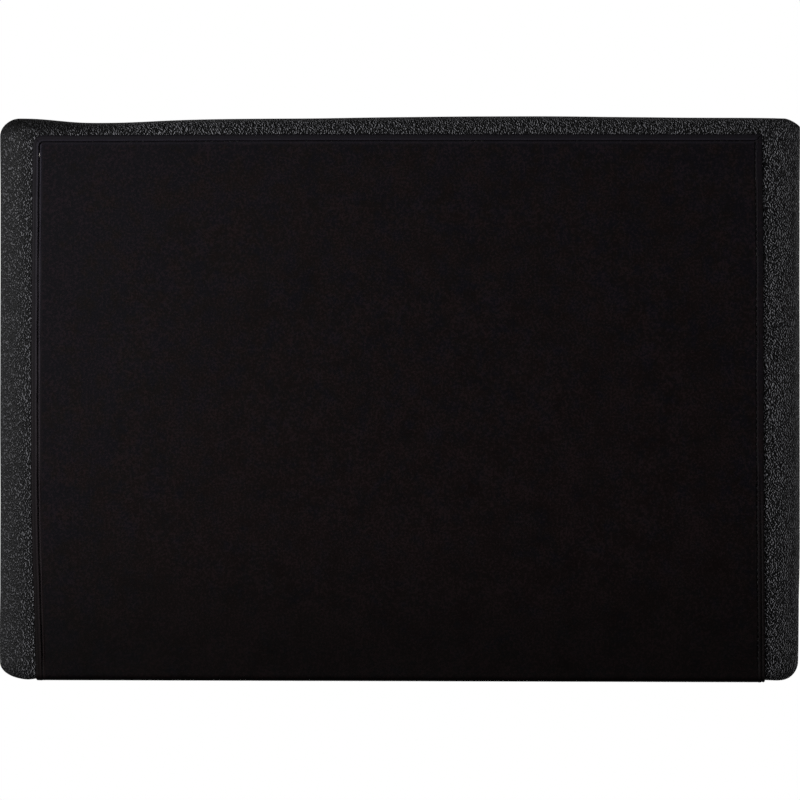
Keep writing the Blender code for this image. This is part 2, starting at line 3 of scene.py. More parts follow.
import bpy
import numpy as np
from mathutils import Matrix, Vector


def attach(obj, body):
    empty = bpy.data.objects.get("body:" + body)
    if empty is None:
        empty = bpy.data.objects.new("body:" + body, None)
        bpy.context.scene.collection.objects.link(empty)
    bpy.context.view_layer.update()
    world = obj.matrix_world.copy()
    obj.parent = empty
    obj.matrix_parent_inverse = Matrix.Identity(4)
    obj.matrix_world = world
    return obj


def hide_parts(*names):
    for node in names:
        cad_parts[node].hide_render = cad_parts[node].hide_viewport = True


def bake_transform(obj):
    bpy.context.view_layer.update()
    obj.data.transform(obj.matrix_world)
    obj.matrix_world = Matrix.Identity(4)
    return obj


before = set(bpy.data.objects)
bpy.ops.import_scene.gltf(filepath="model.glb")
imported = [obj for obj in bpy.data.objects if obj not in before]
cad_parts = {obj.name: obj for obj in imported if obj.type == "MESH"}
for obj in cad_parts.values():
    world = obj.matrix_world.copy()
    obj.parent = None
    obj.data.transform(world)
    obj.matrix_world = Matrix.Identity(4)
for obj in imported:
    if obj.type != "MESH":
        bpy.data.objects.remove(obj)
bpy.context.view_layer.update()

MM = 0.001
QUARTER_TURN = math.pi / 2

# Cover: overall outline, depths from the wall and roundings, as in the part's source
HALF_WIDTH = 216 * MM
HALF_HEIGHT = 151.65 * MM
FLANGE_REAR = 1.3 * MM
VINYL_THICK = 1.2 * MM
REAR_CENTRE = 9.3 * MM        # where the rear rounding meets the side
SIDE_FULL = 30.4 * MM         # from here on the sides are at their widest
ROUND_START = 38.4 * MM       # where the front rounding starts
COVER_FRONT = 50.4 * MM
CROWN_HEIGHT = 3 * MM
SIDE_ROUND_IN = 16 * MM
TOP_ROUND_IN = 8.5 * MM
BOTTOM_ROUND_IN = 3 * MM
SIDE_ROUND_DEEP = 12 * MM
TOP_ROUND_DEEP = 9 * MM
BOTTOM_ROUND_DEEP = 6 * MM
REAR_DRAW_IN = 3 * MM
REAR_ROUND_IN = 4 * MM
REAR_ROUND_DEEP = 8 * MM
FLANGE_INNER = 31 * MM        # flange's cut edge, in from the outline
FLANGE_CORNER = 6 * MM
FRONT_CORNER = 8 * MM
FRONT_HALF_WIDTH = HALF_WIDTH - SIDE_ROUND_IN
FRONT_TOP = HALF_HEIGHT - TOP_ROUND_IN
FRONT_BOTTOM = BOTTOM_ROUND_IN - HALF_HEIGHT
FRONT_MIDDLE = (FRONT_TOP + FRONT_BOTTOM) / 2

# Outline corners, wide and high, in the order of the ring: lower right, upper right, upper left, lower left
CORNERS = ((10.5 * MM, 9 * MM), (8.0 * MM, 4.9 * MM), (10.5 * MM, 10.5 * MM), (16 * MM, 9 * MM))
# and how each is cut: the power of its sine and cosine, 1 for an ellipse and more for a flatter cut
CORNER_CUTS = (1.0, 1.45, 1.0, 1.0)

# How the soft edges of this pad depart from the drawn outline
TOP_DROP = 0.95 * MM          # the top edge lies this far under the drawn one
TOP_SWELL = 1.4 * MM          # and swells over the middle
TOP_SWELL_AT = 70 * MM
TOP_SWELL_REACH = 95 * MM
TOP_DIP = 2.35 * MM           # hollow in the top edge beside the left corner
TOP_DIP_AT = -168 * MM
TOP_DIP_LEFT = 21 * MM
TOP_DIP_RIGHT = 46 * MM
TOP_EAR = 0.25 * MM           # upper left corner stands up beside that hollow
TOP_EAR_AT = -203 * MM
TOP_EAR_REACH = 12 * MM
LEFT_CORNER_DROP = 0.35 * MM  # lower corners hang this far beside the pulled-in panel
RIGHT_CORNER_DROP = 0.8 * MM
PANEL_PULL = 0.5 * MM         # the panel's wrap lifts the bottom edge
BOTTOM_TILT = 0.6 * MM
SIDE_SPREAD = 0.1 * MM        # the sides bulge this far past the drawn outline
RIGHT_DRAW = 1.1 * MM         # and the right one draws in above its lower corner
RIGHT_DRAW_FROM = 75 * MM     # between these distances below the middle
RIGHT_DRAW_FULL = 150 * MM
EDGE_WAVE = 0.12 * MM         # all edges wander this far, over about these lengths
TOP_WAVE_LENGTH = 150 * MM
SIDE_WAVE_LENGTH = 170 * MM
SOFT_FROM = 13 * MM           # the edges are soft from this depth on, in front of the board
SOFT_FULL = 27 * MM
BESIDE_FROM = 188 * MM        # beside the panel, where the lower corners hang
BESIDE_FULL = 202 * MM

# Foam layers
BASE_REAR = 12.3 * MM
BASE_FRONT = 24.3 * MM
CORE_REAR = 24.6 * MM
CORE_FRONT = 40.6 * MM
SPREADER_REAR = 40.9 * MM
SPREADER_FRONT = 48.9 * MM
FOAM_SKIN = 1.8 * MM          # foam edge under the cover's outer face

# Strike panel
PANEL_WIDTH = 394.8 * MM
PANEL_TOP = 142 * MM
PANEL_LENGTH = 312.1 * MM
PANEL_FRONT_RUN = 290.65 * MM
PANEL_BEND_RUN = 7.45 * MM
PANEL_GAP = 0.15 * MM
BEND_SQUARE = 0.55            # power of the bend's sine and cosine: below 1 is squarer than an ellipse
PANEL_LEFT = -197.7 * MM      # the left edge bows out, and leans right at the bottom
LEFT_BOW = 0.9 * MM
LEFT_LEAN = 1.7 * MM
PANEL_RIGHT = 195.0 * MM      # the right edge leans out twice, below the top and over the lower half
RIGHT_FIRST_LEAN = 0.7 * MM
RIGHT_SECOND_LEAN = 0.9 * MM
PULL_RUN = 40 * MM            # the bottom edge's lift fades out over this run of the panel
TOP_SAG = 0.6 * MM            # the panel's top sags beside its left corner
TOP_SAG_RUN = 60 * MM
TOP_SAG_AT = -190 * MM
TOP_SAG_REACH = 150 * MM
# Corners of the flat cut: at the right or not, at the lower end or not, and the radius
PANEL_CORNERS = ((False, False, 6 * MM), (True, False, 2 * MM), (False, True, 4 * MM), (True, True, 4 * MM))
FIELD_SWELL = 0.18 * MM       # low swells of the face, inside its edge
EDGE_STEP = 0.25 * MM         # grid of the hem, and of the field
FIELD_STEP = 3.2 * MM
FINE_EDGE = 8 * MM
FINE_LOWER_END = 30 * MM      # takes in the fold under the bottom edge
PANEL_THICK = 1.4 * MM
HEM_THICK = 1.75 * MM
RIGHT_HEM_THICK = 1.25 * MM
BENT_HEM_THICK = 1.5 * MM
BENT_FLATTER = 0.85           # share of the groove and beads that is lost round the fold
HEM_WANDER = 0.16 * MM
HEM_NOSE = 0.5 * MM
HEM_ROUND = 1.3 * MM
GROOVE_AT = 3.8 * MM
GROOVE_REACH = 0.34 * MM
GROOVE_DEPTH = 0.62 * MM
GROOVE_SHARE = 0.85           # mean share of that depth, how far it wanders, and how far with each stitch
GROOVE_WANDER = 0.3
GROOVE_BEAT = 0.12
BEAD_OFF = 0.8 * MM
BEAD_REACH = 0.38 * MM
BEAD_RISE = 0.42 * MM
FOLD_CREASE_AT = 1.6 * MM     # a second crease in the lower part of the right hem
FOLD_CREASE_REACH = 0.4 * MM
FOLD_CREASE_DEPTH = 0.5 * MM
MITRE_REACH = 0.5 * MM        # the upper corners' hems meet in a mitre
MITRE_DEPTH = 0.4 * MM
STITCH_PITCH = 3.4 * MM
STITCH_LENGTH = 2.7 * MM
STITCH_RADIUS = 0.32 * MM
STITCH_RINGS = 7
STITCH_SIDES = 6
STITCH_LIFT = 0.68 * MM       # height of a stitch's ends, and how much its middle stands above them
STITCH_ARCH = 0.12 * MM
PALE_STITCH_AT = 10.5 * MM    # the pale stitch, down from the panel's top, which stands a little higher
PALE_STITCH_LIFT = 0.27 * MM

# Hem at the left, the right and the ends: share of the inner bead, and of painted hem light outside the
# groove and inside it, a painted highlight strongest on the left where the light falls
INNER_BEADS = (1.3, 0.1, 0.4)
OUTER_HEM_LIGHT = (1.25, 0.4, 1.05)
INNER_HEM_LIGHT = (1.2, 0.0, 0.3)
LOWER_HEM_LIGHT_LOSS = 0.2          # the lower left gets this share less painted hem light

# Camera: the whole width of the pad fills the 800 pixel frame
LENS = 300.0
SENSOR = 36.0
FRAME_WIDTH = 432.1 * MM
CAMERA_HEIGHT = -1.15 * MM


def smooth(low, high, value):
    """Smooth step: 0 below low, 1 above high, 3t^2 - 2t^3 between."""
    t = np.clip((value - low) / (high - low), 0, 1)
    return t * t * (3 - 2 * t)


def ripple(t, length, phase):
    """Irregular wave between about -1 and 1: three sines of unrelated lengths near the given one."""
    turn = 2 * math.pi * t / length
    return (0.5 * np.sin(turn + phase) + 0.3 * np.sin(1.73 * turn + 2.1 * phase)
            + 0.2 * np.sin(2.91 * turn + 3.7 * phase))


# Meshes

def grid_faces(rows, columns, ring):
    """Quads of a grid in row order, joined round where the grid is a ring."""
    row = np.arange(rows - 1)[:, None]
    column = np.arange(columns if ring else columns - 1)[None]
    following = (column + 1) % columns
    corners = [row * columns + column, row * columns + following,
               (row + 1) * columns + following, (row + 1) * columns + column]
    return np.stack(corners, axis=-1).reshape(-1, 4)


def fan(ring, pole, turned):
    """Triangles from a ring of points to one pole point, which close a loft's end."""
    following = np.roll(ring, -1)
    first, second = (following, ring) if turned else (ring, following)
    return np.stack([first, second, np.full(ring.shape, pole)], axis=-1)


def zip_across(ring):
    """Quads between the two halves of a ring, which close a face without a pole."""
    there, back = ring[:len(ring) // 2], ring[::-1][:len(ring) // 2]
    return np.stack([there[:-1], there[1:], back[1:], back[:-1]], axis=-1)


def piece(name, points, faces, material):
    """A smooth-shaded mesh object at the origin, from an array of points and arrays of faces."""
    mesh = bpy.data.meshes.new(name)
    mesh.from_pydata(points.reshape(-1, 3).tolist(), [], [face for group in faces for face in group.tolist()])
    mesh.materials.append(material)
    mesh.shade_smooth()
    item = bpy.data.objects.new(name, mesh)
    bpy.context.scene.collection.objects.link(item)
    return item


def face_value(item, name, values):
    """A number for each point, which the piece's material reads."""
    attribute = item.data.attributes.new(name, "FLOAT", "POINT")
    attribute.data.foreach_set("value", values.astype(np.float32).ravel())


def modify(item, kind, **settings):
    """A modifier with its settings."""
    modifier = item.modifiers.new(kind.title(), kind)
    for key, value in settings.items():
        setattr(modifier, key, value)
    return modifier


# Pad cross-sections

CORNER_POINTS = 18
LONG_POINTS = 62
SHORT_POINTS = 42
RING_POINTS = 4 * CORNER_POINTS + 2 * LONG_POINTS + 2 * SHORT_POINTS
# Points between the corners, and the way in from that side, in the order of the ring
SIDE_POINTS = (SHORT_POINTS, LONG_POINTS, SHORT_POINTS, LONG_POINTS)
SIDE_INWARD = ((-1, 0), (0, -1), (1, 0), (0, 1))


def inset(depth, round_in, round_deep):
    """How far in from the outline the cover's face lies at a depth.

    A quarter ellipse at the rear, a straight draw out to the full width, and a quarter ellipse
    of the side's own reach and depth at the front.
    """
    drop = np.clip((REAR_CENTRE - depth) / REAR_ROUND_DEEP, 0, 1)
    rear = REAR_DRAW_IN + REAR_ROUND_IN * (1 - np.sqrt(1 - drop**2))
    straight = REAR_DRAW_IN * (SIDE_FULL - depth) / (SIDE_FULL - REAR_CENTRE)
    rise = np.clip((depth - COVER_FRONT + round_deep) / round_deep, 0, 1)
    front = round_in * (1 - np.sqrt(1 - rise**2))
    return np.where(depth < REAR_CENTRE, rear, np.where(depth < SIDE_FULL, straight, front))


def rings(side, top, bottom, corners):
    """Rounded rectangles as x and z arrays, one row for each set of insets.

    Each ring runs anticlockwise from the lower right: an elliptical corner of the given width
    and height, then a straight side to the next corner.
    """
    half = HALF_WIDTH - side[:, None]
    level_top = HALF_HEIGHT - top[:, None]
    level_bottom = bottom[:, None] - HALF_HEIGHT
    arc = np.linspace(0, QUARTER_TURN, CORNER_POINTS)[None]
    signs = ((1, -1, -1), (1, 1, 0), (-1, 1, 1), (-1, -1, 2))
    arcs = []
    for (right, up, turns), (wide, high), power in zip(signs, corners, CORNER_CUTS):
        angle = arc + turns * QUARTER_TURN
        level = level_top if up > 0 else level_bottom
        x = right * (half - wide[:, None] + wide[:, None] * np.abs(np.cos(angle)) ** power)
        z = level - up * high[:, None] * (1 - np.abs(np.sin(angle)) ** power)
        arcs.append((x, z))
    across, upright = [], []
    for (x, z), (next_x, next_z), count in zip(arcs, arcs[1:] + arcs[:1], SIDE_POINTS):
        share = (np.arange(count)[None] + 1) / (count + 1)
        across += [x, x[:, -1:] + (next_x[:, :1] - x[:, -1:]) * share]
        upright += [z, z[:, -1:] + (next_z[:, :1] - z[:, -1:]) * share]
    return np.hstack(across), np.hstack(upright)


def section(depth, skin):
    """Rings of the pad at an array of depths, drawn in by the skin."""
    side = inset(depth, SIDE_ROUND_IN, SIDE_ROUND_DEEP) + skin
    top = inset(depth, TOP_ROUND_IN, TOP_ROUND_DEEP) + skin
    bottom = inset(depth, BOTTOM_ROUND_IN, BOTTOM_ROUND_DEEP) + skin
    share = np.where(depth > SIDE_FULL, np.clip((side - skin) / SIDE_ROUND_IN, 0, 1), 0)
    corners = [(wide - skin + (FRONT_CORNER - wide) * share, high - skin + (FRONT_CORNER - high) * share)
               for wide, high in CORNERS]
    return rings(side, top, bottom, corners)


def crown(x, z):
    """Rise of the face: a dome, parabolic both ways, that is nothing at the edge of the flat front."""
    across = 1 - (x / FRONT_HALF_WIDTH) ** 2
    upright = 1 - ((z - FRONT_MIDDLE) / (FRONT_TOP - FRONT_MIDDLE)) ** 2
    return CROWN_HEIGHT * np.clip(across, 0, 1) * np.clip(upright, 0, 1)


def bottom_pull(x):
    """How far the panel's wrap lifts the bottom edge: level under the panel, tilted a little."""
    return PANEL_PULL - BOTTOM_TILT * x / FRONT_HALF_WIDTH


def settle(x, depth, z):
    """Moves the drawn outline to the soft one, only in front of the board.

    The top edge gets a lopsided bell-shaped hollow, a low bell-shaped swell and a small bell at its
    left end. The bottom edge is lifted under the panel and drops at the corners. The right side
    draws in towards its lower corner, and all edges wander a little.
    """
    soft = smooth(SOFT_FROM, SOFT_FULL, depth)
    near_top = smooth(FRONT_TOP - 4 * MM, HALF_HEIGHT - 1 * MM, z) * soft
    reach = np.where(x < TOP_DIP_AT, TOP_DIP_LEFT, TOP_DIP_RIGHT)
    hollow = TOP_DIP * np.exp(-(((x - TOP_DIP_AT) / reach) ** 2))
    swell = TOP_SWELL * np.exp(-(((x - TOP_SWELL_AT) / TOP_SWELL_REACH) ** 2))
    ear = TOP_EAR * np.exp(-(((x - TOP_EAR_AT) / TOP_EAR_REACH) ** 2))
    top_move = swell + ear - TOP_DROP - hollow + EDGE_WAVE * ripple(x, TOP_WAVE_LENGTH, 1.0)
    near_bottom = smooth(-FRONT_BOTTOM - 6 * MM, HALF_HEIGHT - 1 * MM, -z) * soft
    beside = smooth(BESIDE_FROM, BESIDE_FULL, np.abs(x))
    drop = np.where(x < 0, LEFT_CORNER_DROP, RIGHT_CORNER_DROP)
    bottom_move = bottom_pull(x) * (1 - beside) - drop * beside
    near_side = smooth(FRONT_HALF_WIDTH, HALF_WIDTH - 2 * MM, np.abs(x)) * soft
    drawn = np.where(x > 0, RIGHT_DRAW * smooth(RIGHT_DRAW_FROM, RIGHT_DRAW_FULL, -z), 0)
    wave = EDGE_WAVE * ripple(z, SIDE_WAVE_LENGTH, 2.0 + np.sign(x))
    side_move = np.sign(x) * (SIDE_SPREAD - drawn + wave)
    return x + near_side * side_move, z + near_top * top_move + near_bottom * bottom_move


def cap(x, depth, z, shares):
    """Rings inside an edge ring, shrunk towards the middle of the face, with the crown added."""
    share = np.asarray(shares)[:, None]
    inner_x = x[None] * share
    inner_z = FRONT_MIDDLE + (z[None] - FRONT_MIDDLE) * share
    return inner_x, depth + crown(inner_x, inner_z), inner_z


def settled(points):
    """The same points with the soft outline."""
    x, z = settle(points[..., 0], -points[..., 1], points[..., 2])
    return np.stack([x, points[..., 1], z], axis=-1)


# Vinyl cover

CAP_SHARES = (0.985, 0.95, 0.9, 0.75, 0.5, 0.2)
SLACK = 1.5 * MM              # the sides start this much too flat, and the simulation swells them
SWELL_OVER = 0.3 * MM         # as far as this past the drawn outline
SWELL_FRAMES = 20
PRESSURE = 4.0
DRAWN_OUT = np.array([1, 0.6, 1])  # the grain is drawn out over the sides, where the vinyl is stretched
SLACK_FADE = 0.15             # share of a side over which the slack fades out towards its corners
SLACK_FULL = SIDE_FULL - 8 * MM
FLANGE_ROWS = np.array([31, 28, 24, 19, 14, 10]) * MM
REAR_ROWS = 6
SIDE_ROWS = 8
FRONT_ROWS = 13
TUCKS = 3                     # tucks to a rear corner
TUCK_HEIGHT = 1.0 * MM
TUCK_SLOPE = 0.84             # share of a tuck that is its long slope
TUCK_FADE = 0.4               # share of the flange over which the tucks rise
CREASE_REACH = 0.12           # half width of a crease, as a share of a tuck
UNDER_PANEL = 199 * MM        # within this of the middle, the panel holds the lower half of the cover
UNDER_PANEL_DEPTH = 20 * MM
TOP_PAINTED_SHADE = 0.15              # painted shade along the top border, and more at its left end
CORNER_PAINTED_SHADE = 0.65


def flange_pleats(row_weight):
    """Height of the tucks where the vinyl is gathered round the board's corners, and their creases.

    Along each corner's arc the height follows a saw tooth, each tuck a long slope and a steep fold, lower
    towards the arc's ends. A crease is a narrow bell at the foot of each fold, where painted shade goes.
    Straight sides have none. Both are shares.
    """
    along = np.linspace(0, 1, CORNER_POINTS)
    phase = (TUCKS * along) % 1
    lower_ends = np.sin(math.pi * along) ** 0.5
    tuck = np.where(phase < TUCK_SLOPE, phase / TUCK_SLOPE, (1 - phase) / (1 - TUCK_SLOPE)) * lower_ends
    crease = np.exp(-((np.minimum(phase, 1 - phase) / CREASE_REACH) ** 2)) * lower_ends
    heights = np.concatenate([np.pad(tuck, (0, count)) for count in SIDE_POINTS])
    creases = np.concatenate([np.pad(crease, (0, count)) for count in SIDE_POINTS])
    return heights[None] * row_weight[:, None], creases[None] * row_weight[:, None]


def slack_runs():
    """Inward direction along a ring: square in from each straight side, and nothing at the corners."""
    runs = []
    for count, inward in zip(SIDE_POINTS, SIDE_INWARD):
        share = np.arange(1, count + 1)[:, None] / (count + 1)
        fade = smooth(0, SLACK_FADE, share) * smooth(0, SLACK_FADE, 1 - share)
        runs += [np.zeros((CORNER_POINTS, 2)), fade * np.array([inward])]
    return np.concatenate(runs)


def swell_under_pressure(item, held, most):
    """Swells a skin with Blender's cloth: pressure inside, no gravity, and the held points pinned.

    A move is shortened to the most that its point may make, and its inward part is left out,
    because the foam lies behind the skin. Gives the swollen points.
    """
    points = np.empty(3 * len(item.data.vertices), np.float32)
    item.data.vertices.foreach_get("co", points)
    points = points.reshape(-1, 3)
    item.vertex_groups.new(name="held").add(np.flatnonzero(held).tolist(), 1.0, "REPLACE")
    cloth = modify(item, "CLOTH")
    cloth.settings.vertex_group_mass = "held"
    cloth.settings.effector_weights.gravity = 0
    cloth.settings.use_pressure = True
    cloth.settings.uniform_pressure_force = PRESSURE
    cloth.settings.quality = 6
    cloth.collision_settings.use_collision = False
    for number in range(1, SWELL_FRAMES + 1):
        bpy.context.scene.frame_set(number)
    swollen = np.empty(points.size, np.float32)
    item.evaluated_get(bpy.context.evaluated_depsgraph_get()).data.vertices.foreach_get("co", swollen)
    move = swollen.reshape(-1, 3) - points
    outward = np.empty(points.size, np.float32)
    item.data.vertex_normals.foreach_get("vector", outward)
    outward = outward.reshape(-1, 3)
    move = move - outward * np.minimum((move * outward).sum(axis=1, keepdims=True), 0)
    length = np.linalg.norm(move, axis=1, keepdims=True)
    item.modifiers.remove(cloth)
    item.vertex_groups.clear()
    bpy.context.scene.frame_set(1)
    return points + move * np.minimum(1, most[:, None] / np.maximum(length, 1e-9))


def front_painted_shade(x, depth, z):
    """Share of painted shade: smooth steps to the top border and its left end, at the front only."""
    by_corner = smooth(HALF_HEIGHT - 12 * MM, HALF_HEIGHT - 2 * MM, z) * (1 - smooth(-185 * MM, -130 * MM, x))
    by_top = smooth(HALF_HEIGHT - 14 * MM, HALF_HEIGHT - 10 * MM, z)
    return (TOP_PAINTED_SHADE * by_top + CORNER_PAINTED_SHADE * by_corner) * smooth(SIDE_FULL, ROUND_START, depth)


def cover_skin(material):
    """The vinyl as one loft: flange, rear rounding, sides, front rounding and crowned front.

    Rows are rings from the flange's cut edge to the middle of the front. The sides start slack and
    swell under pressure, held by the stapled flange and by the panel, then take the soft outline.
    One subdivision smooths the skin, and Solidify gives the vinyl its thickness inwards. The material reads
    each point's place at rest and its share of painted shade, which is full in the tucks' creases.
    """
    share = (FLANGE_ROWS - REAR_DRAW_IN - REAR_ROUND_IN) / (FLANGE_INNER - REAR_DRAW_IN - REAR_ROUND_IN)
    corners = [(wide + (FLANGE_CORNER - wide) * share, high + (FLANGE_CORNER - high) * share)
               for wide, high in CORNERS]
    flange_x, flange_z = rings(FLANGE_ROWS, FLANGE_ROWS, FLANGE_ROWS, corners)
    pleats, creases = flange_pleats(smooth(0, TUCK_FADE, share))
    flange_depth = FLANGE_REAR - TUCK_HEIGHT * pleats
    turn = np.linspace(0, QUARTER_TURN, REAR_ROWS)
    rear = REAR_CENTRE - REAR_ROUND_DEEP * np.cos(turn)
    sides = np.linspace(REAR_CENTRE, ROUND_START, SIDE_ROWS)[1:]
    front = ROUND_START + SIDE_ROUND_DEEP * np.sin(np.linspace(0, QUARTER_TURN, FRONT_ROWS)[1:])
    depth = np.concatenate([rear, sides, front])
    x, z = section(depth, 0.0)
    slack = SLACK * smooth(REAR_CENTRE, SLACK_FULL, depth)
    slack = slack * (1 - smooth(ROUND_START, COVER_FRONT, depth))
    inward = slack[:, None, None] * slack_runs()[None]
    x = x + inward[..., 0]
    z = z + inward[..., 1]
    wall_depth = np.broadcast_to(depth[:, None], x.shape)
    cap_x, cap_depth, cap_z = cap(x[-1], COVER_FRONT, z[-1], CAP_SHARES)
    x = np.vstack([flange_x, x, cap_x])
    z = np.vstack([flange_z, z, cap_z])
    wall_depth = np.vstack([flange_depth, wall_depth, cap_depth])
    loft = np.stack([x, -wall_depth, z], axis=-1)
    rows = len(x)
    last_ring = np.arange((rows - 1) * RING_POINTS, rows * RING_POINTS)
    faces = (grid_faces(rows, RING_POINTS, True), zip_across(last_ring))
    item = piece("vinyl_cover_skin", loft, faces, material)
    most = np.full(x.shape, SWELL_OVER)
    most[len(FLANGE_ROWS):-len(CAP_SHARES)] += np.abs(inward).sum(axis=-1)
    under_panel = (np.abs(x) < UNDER_PANEL) & (z < 0) & (wall_depth > UNDER_PANEL_DEPTH)
    row = np.arange(rows)[:, None]
    held = under_panel | (row <= len(FLANGE_ROWS)) | (row >= rows - len(CAP_SHARES) - 1)
    points = swell_under_pressure(item, held.ravel(), most.ravel())
    item.data.vertices.foreach_set("co", settled(points).astype(np.float32).ravel())
    place = item.data.attributes.new("place_at_rest", "FLOAT_VECTOR", "POINT")
    place.data.foreach_set("vector", (settled(points) * DRAWN_OUT).astype(np.float32).ravel())
    # share of painted shade: along the top border, more at its left end, and full in the tucks' creases
    painted_shade = front_painted_shade(x, wall_depth, z)
    painted_shade[:len(FLANGE_ROWS)] = creases
    face_value(item, "painted_shade", painted_shade)
    modify(item, "SUBSURF", levels=1, render_levels=1)
    modify(item, "SOLIDIFY", thickness=VINYL_THICK, offset=-1)
    return item


# Foam layers

FOAM_ROWS = 9


def foam_slab(name, rear, front, rear_crowned, front_crowned, material):
    """A foam sheet cut to the pad's cross-section, closed by caps at the rear and the front."""
    depth = np.linspace(rear, front, FOAM_ROWS)
    x, z = section(depth, FOAM_SKIN)
    wall_depth = np.broadcast_to(depth[:, None], x.shape)
    front_cap = cap(x[-1], front, z[-1], CAP_SHARES)
    rear_cap = cap(x[0], rear, z[0], CAP_SHARES[::-1])
    front_depth = front_cap[1] if front_crowned else np.full(front_cap[1].shape, front)
    rear_depth = rear_cap[1] if rear_crowned else np.full(rear_cap[1].shape, rear)
    x = np.vstack([rear_cap[0], x, front_cap[0]])
    z = np.vstack([rear_cap[2], z, front_cap[2]])
    wall_depth = np.vstack([rear_depth, wall_depth, front_depth])
    rise = crown(0, FRONT_MIDDLE)
    poles = np.array([[0, -rear - rise * rear_crowned, FRONT_MIDDLE],
                      [0, -front - rise * front_crowned, FRONT_MIDDLE]])
    points = np.vstack([np.stack([x, -wall_depth, z], axis=-1).reshape(-1, 3), poles])
    ring = np.arange(RING_POINTS)
    count = x.size
    faces = (grid_faces(len(x), RING_POINTS, True), fan(ring, count, True),
             fan(ring + count - RING_POINTS, count + 1, False))
    return piece(name, settled(points), faces, material)


# Strike panel

def edge_stations(length, first, last):
    """Stations along a length, fine in the first and last runs and coarse between."""
    fine_first = np.arange(0, first, EDGE_STEP)
    fine_last = length - np.arange(0, last, EDGE_STEP)[::-1]
    count = int((length - first - last) / FIELD_STEP)
    return np.concatenate([fine_first, np.linspace(first, length - last, count)[:-1], fine_last])


def panel_sides(along):
    """Where the panel's left and right edges run.

    The left one is half a sine wave out and a smooth step right at the bottom, and the right one
    is two smooth steps right.
    """
    t = along / PANEL_FRONT_RUN
    left = PANEL_LEFT - LEFT_BOW * np.sin(math.pi * np.clip(t, 0, 1)) + LEFT_LEAN * smooth(0.65, 1.05, t)
    right = PANEL_RIGHT + RIGHT_FIRST_LEAN * smooth(0, 0.25, t) + RIGHT_SECOND_LEAN * smooth(0.45, 1.05, t)
    return left, right


def panel_point(across, along, height):
    """A point on the panel: across and along its flat cut, and a height above the cover.

    The front run follows the crowned front, then the panel turns a squared quarter ellipse under
    the bottom edge and runs back along it. It is lifted near the bottom with the cover, and its
    top sags a little at the left.
    """
    left, right = panel_sides(along)
    x = left + (right - left) * across / PANEL_WIDTH
    down = np.minimum(along, PANEL_FRONT_RUN)
    turn = np.clip((along - PANEL_FRONT_RUN) / PANEL_BEND_RUN, 0, 1) * QUARTER_TURN
    back = np.maximum(along - PANEL_FRONT_RUN - PANEL_BEND_RUN, 0)
    bend_depth = (BOTTOM_ROUND_DEEP + height) * np.cos(turn) ** BEND_SQUARE
    depth = COVER_FRONT - BOTTOM_ROUND_DEEP + bend_depth - back + crown(x, PANEL_TOP - down)
    lifted = bottom_pull(x) * smooth(PANEL_FRONT_RUN - PULL_RUN, PANEL_FRONT_RUN, along)
    beside = smooth(-TOP_SAG_REACH, 0, -np.abs(x - TOP_SAG_AT))
    sag = (1 - smooth(0, TOP_SAG_RUN, along)) * TOP_SAG * beside
    z = PANEL_TOP - down - (BOTTOM_ROUND_IN + height) * np.sin(turn) ** BEND_SQUARE + lifted - sag
    return np.stack([x, -depth, z], axis=-1)


def round_corner(across, along, right, low, radius):
    """Pulls a square corner of the flat cut in to a quarter circle.

    Within the corner's square, a point's offsets from the inner corner, as shares of the radius,
    are scaled by their larger over their length.
    """
    a = (across - (PANEL_WIDTH - radius)) / radius if right else (radius - across) / radius
    b = (along - (PANEL_LENGTH - radius)) / radius if low else (radius - along) / radius
    inside = (a > 0) & (b > 0)
    a_in, b_in = np.where(inside, a, 1), np.where(inside, b, 0)
    scale = np.maximum(a_in, b_in) / np.hypot(a_in, b_in)
    new_a, new_b = a_in * scale, b_in * scale
    new_across = PANEL_WIDTH - radius + new_a * radius if right else radius - new_a * radius
    new_along = PANEL_LENGTH - radius + new_b * radius if low else radius - new_b * radius
    return np.where(inside, new_across, across), np.where(inside, new_along, along)


def hem_section(edge, depth_share, inner_share, hem_thick):
    """Thickness of the leather at a distance from its edge, in the turned hem and stitched groove.

    A rounded fold, a flat double hem that steps down to the single face, and at the step a
    bell-shaped groove pressed in by the stitches, with a low bead on each side of it.
    """
    nose = np.sqrt(np.clip(1 - (1 - np.clip(edge / HEM_ROUND, 0, 1)) ** 2, 0, 1))
    fold = HEM_NOSE + (hem_thick - HEM_NOSE) * nose
    body = fold + (PANEL_THICK - fold) * smooth(GROOVE_AT - 0.4 * MM, GROOVE_AT + 0.4 * MM, edge)
    bead = np.exp(-(((edge - GROOVE_AT + BEAD_OFF) / BEAD_REACH) ** 2))
    inner_bead = np.exp(-(((edge - GROOVE_AT - BEAD_OFF) / BEAD_REACH) ** 2))
    groove = np.exp(-(((edge - GROOVE_AT) / GROOVE_REACH) ** 2))
    return body + depth_share * (BEAD_RISE * (bead + inner_share * inner_bead) - GROOVE_DEPTH * groove)


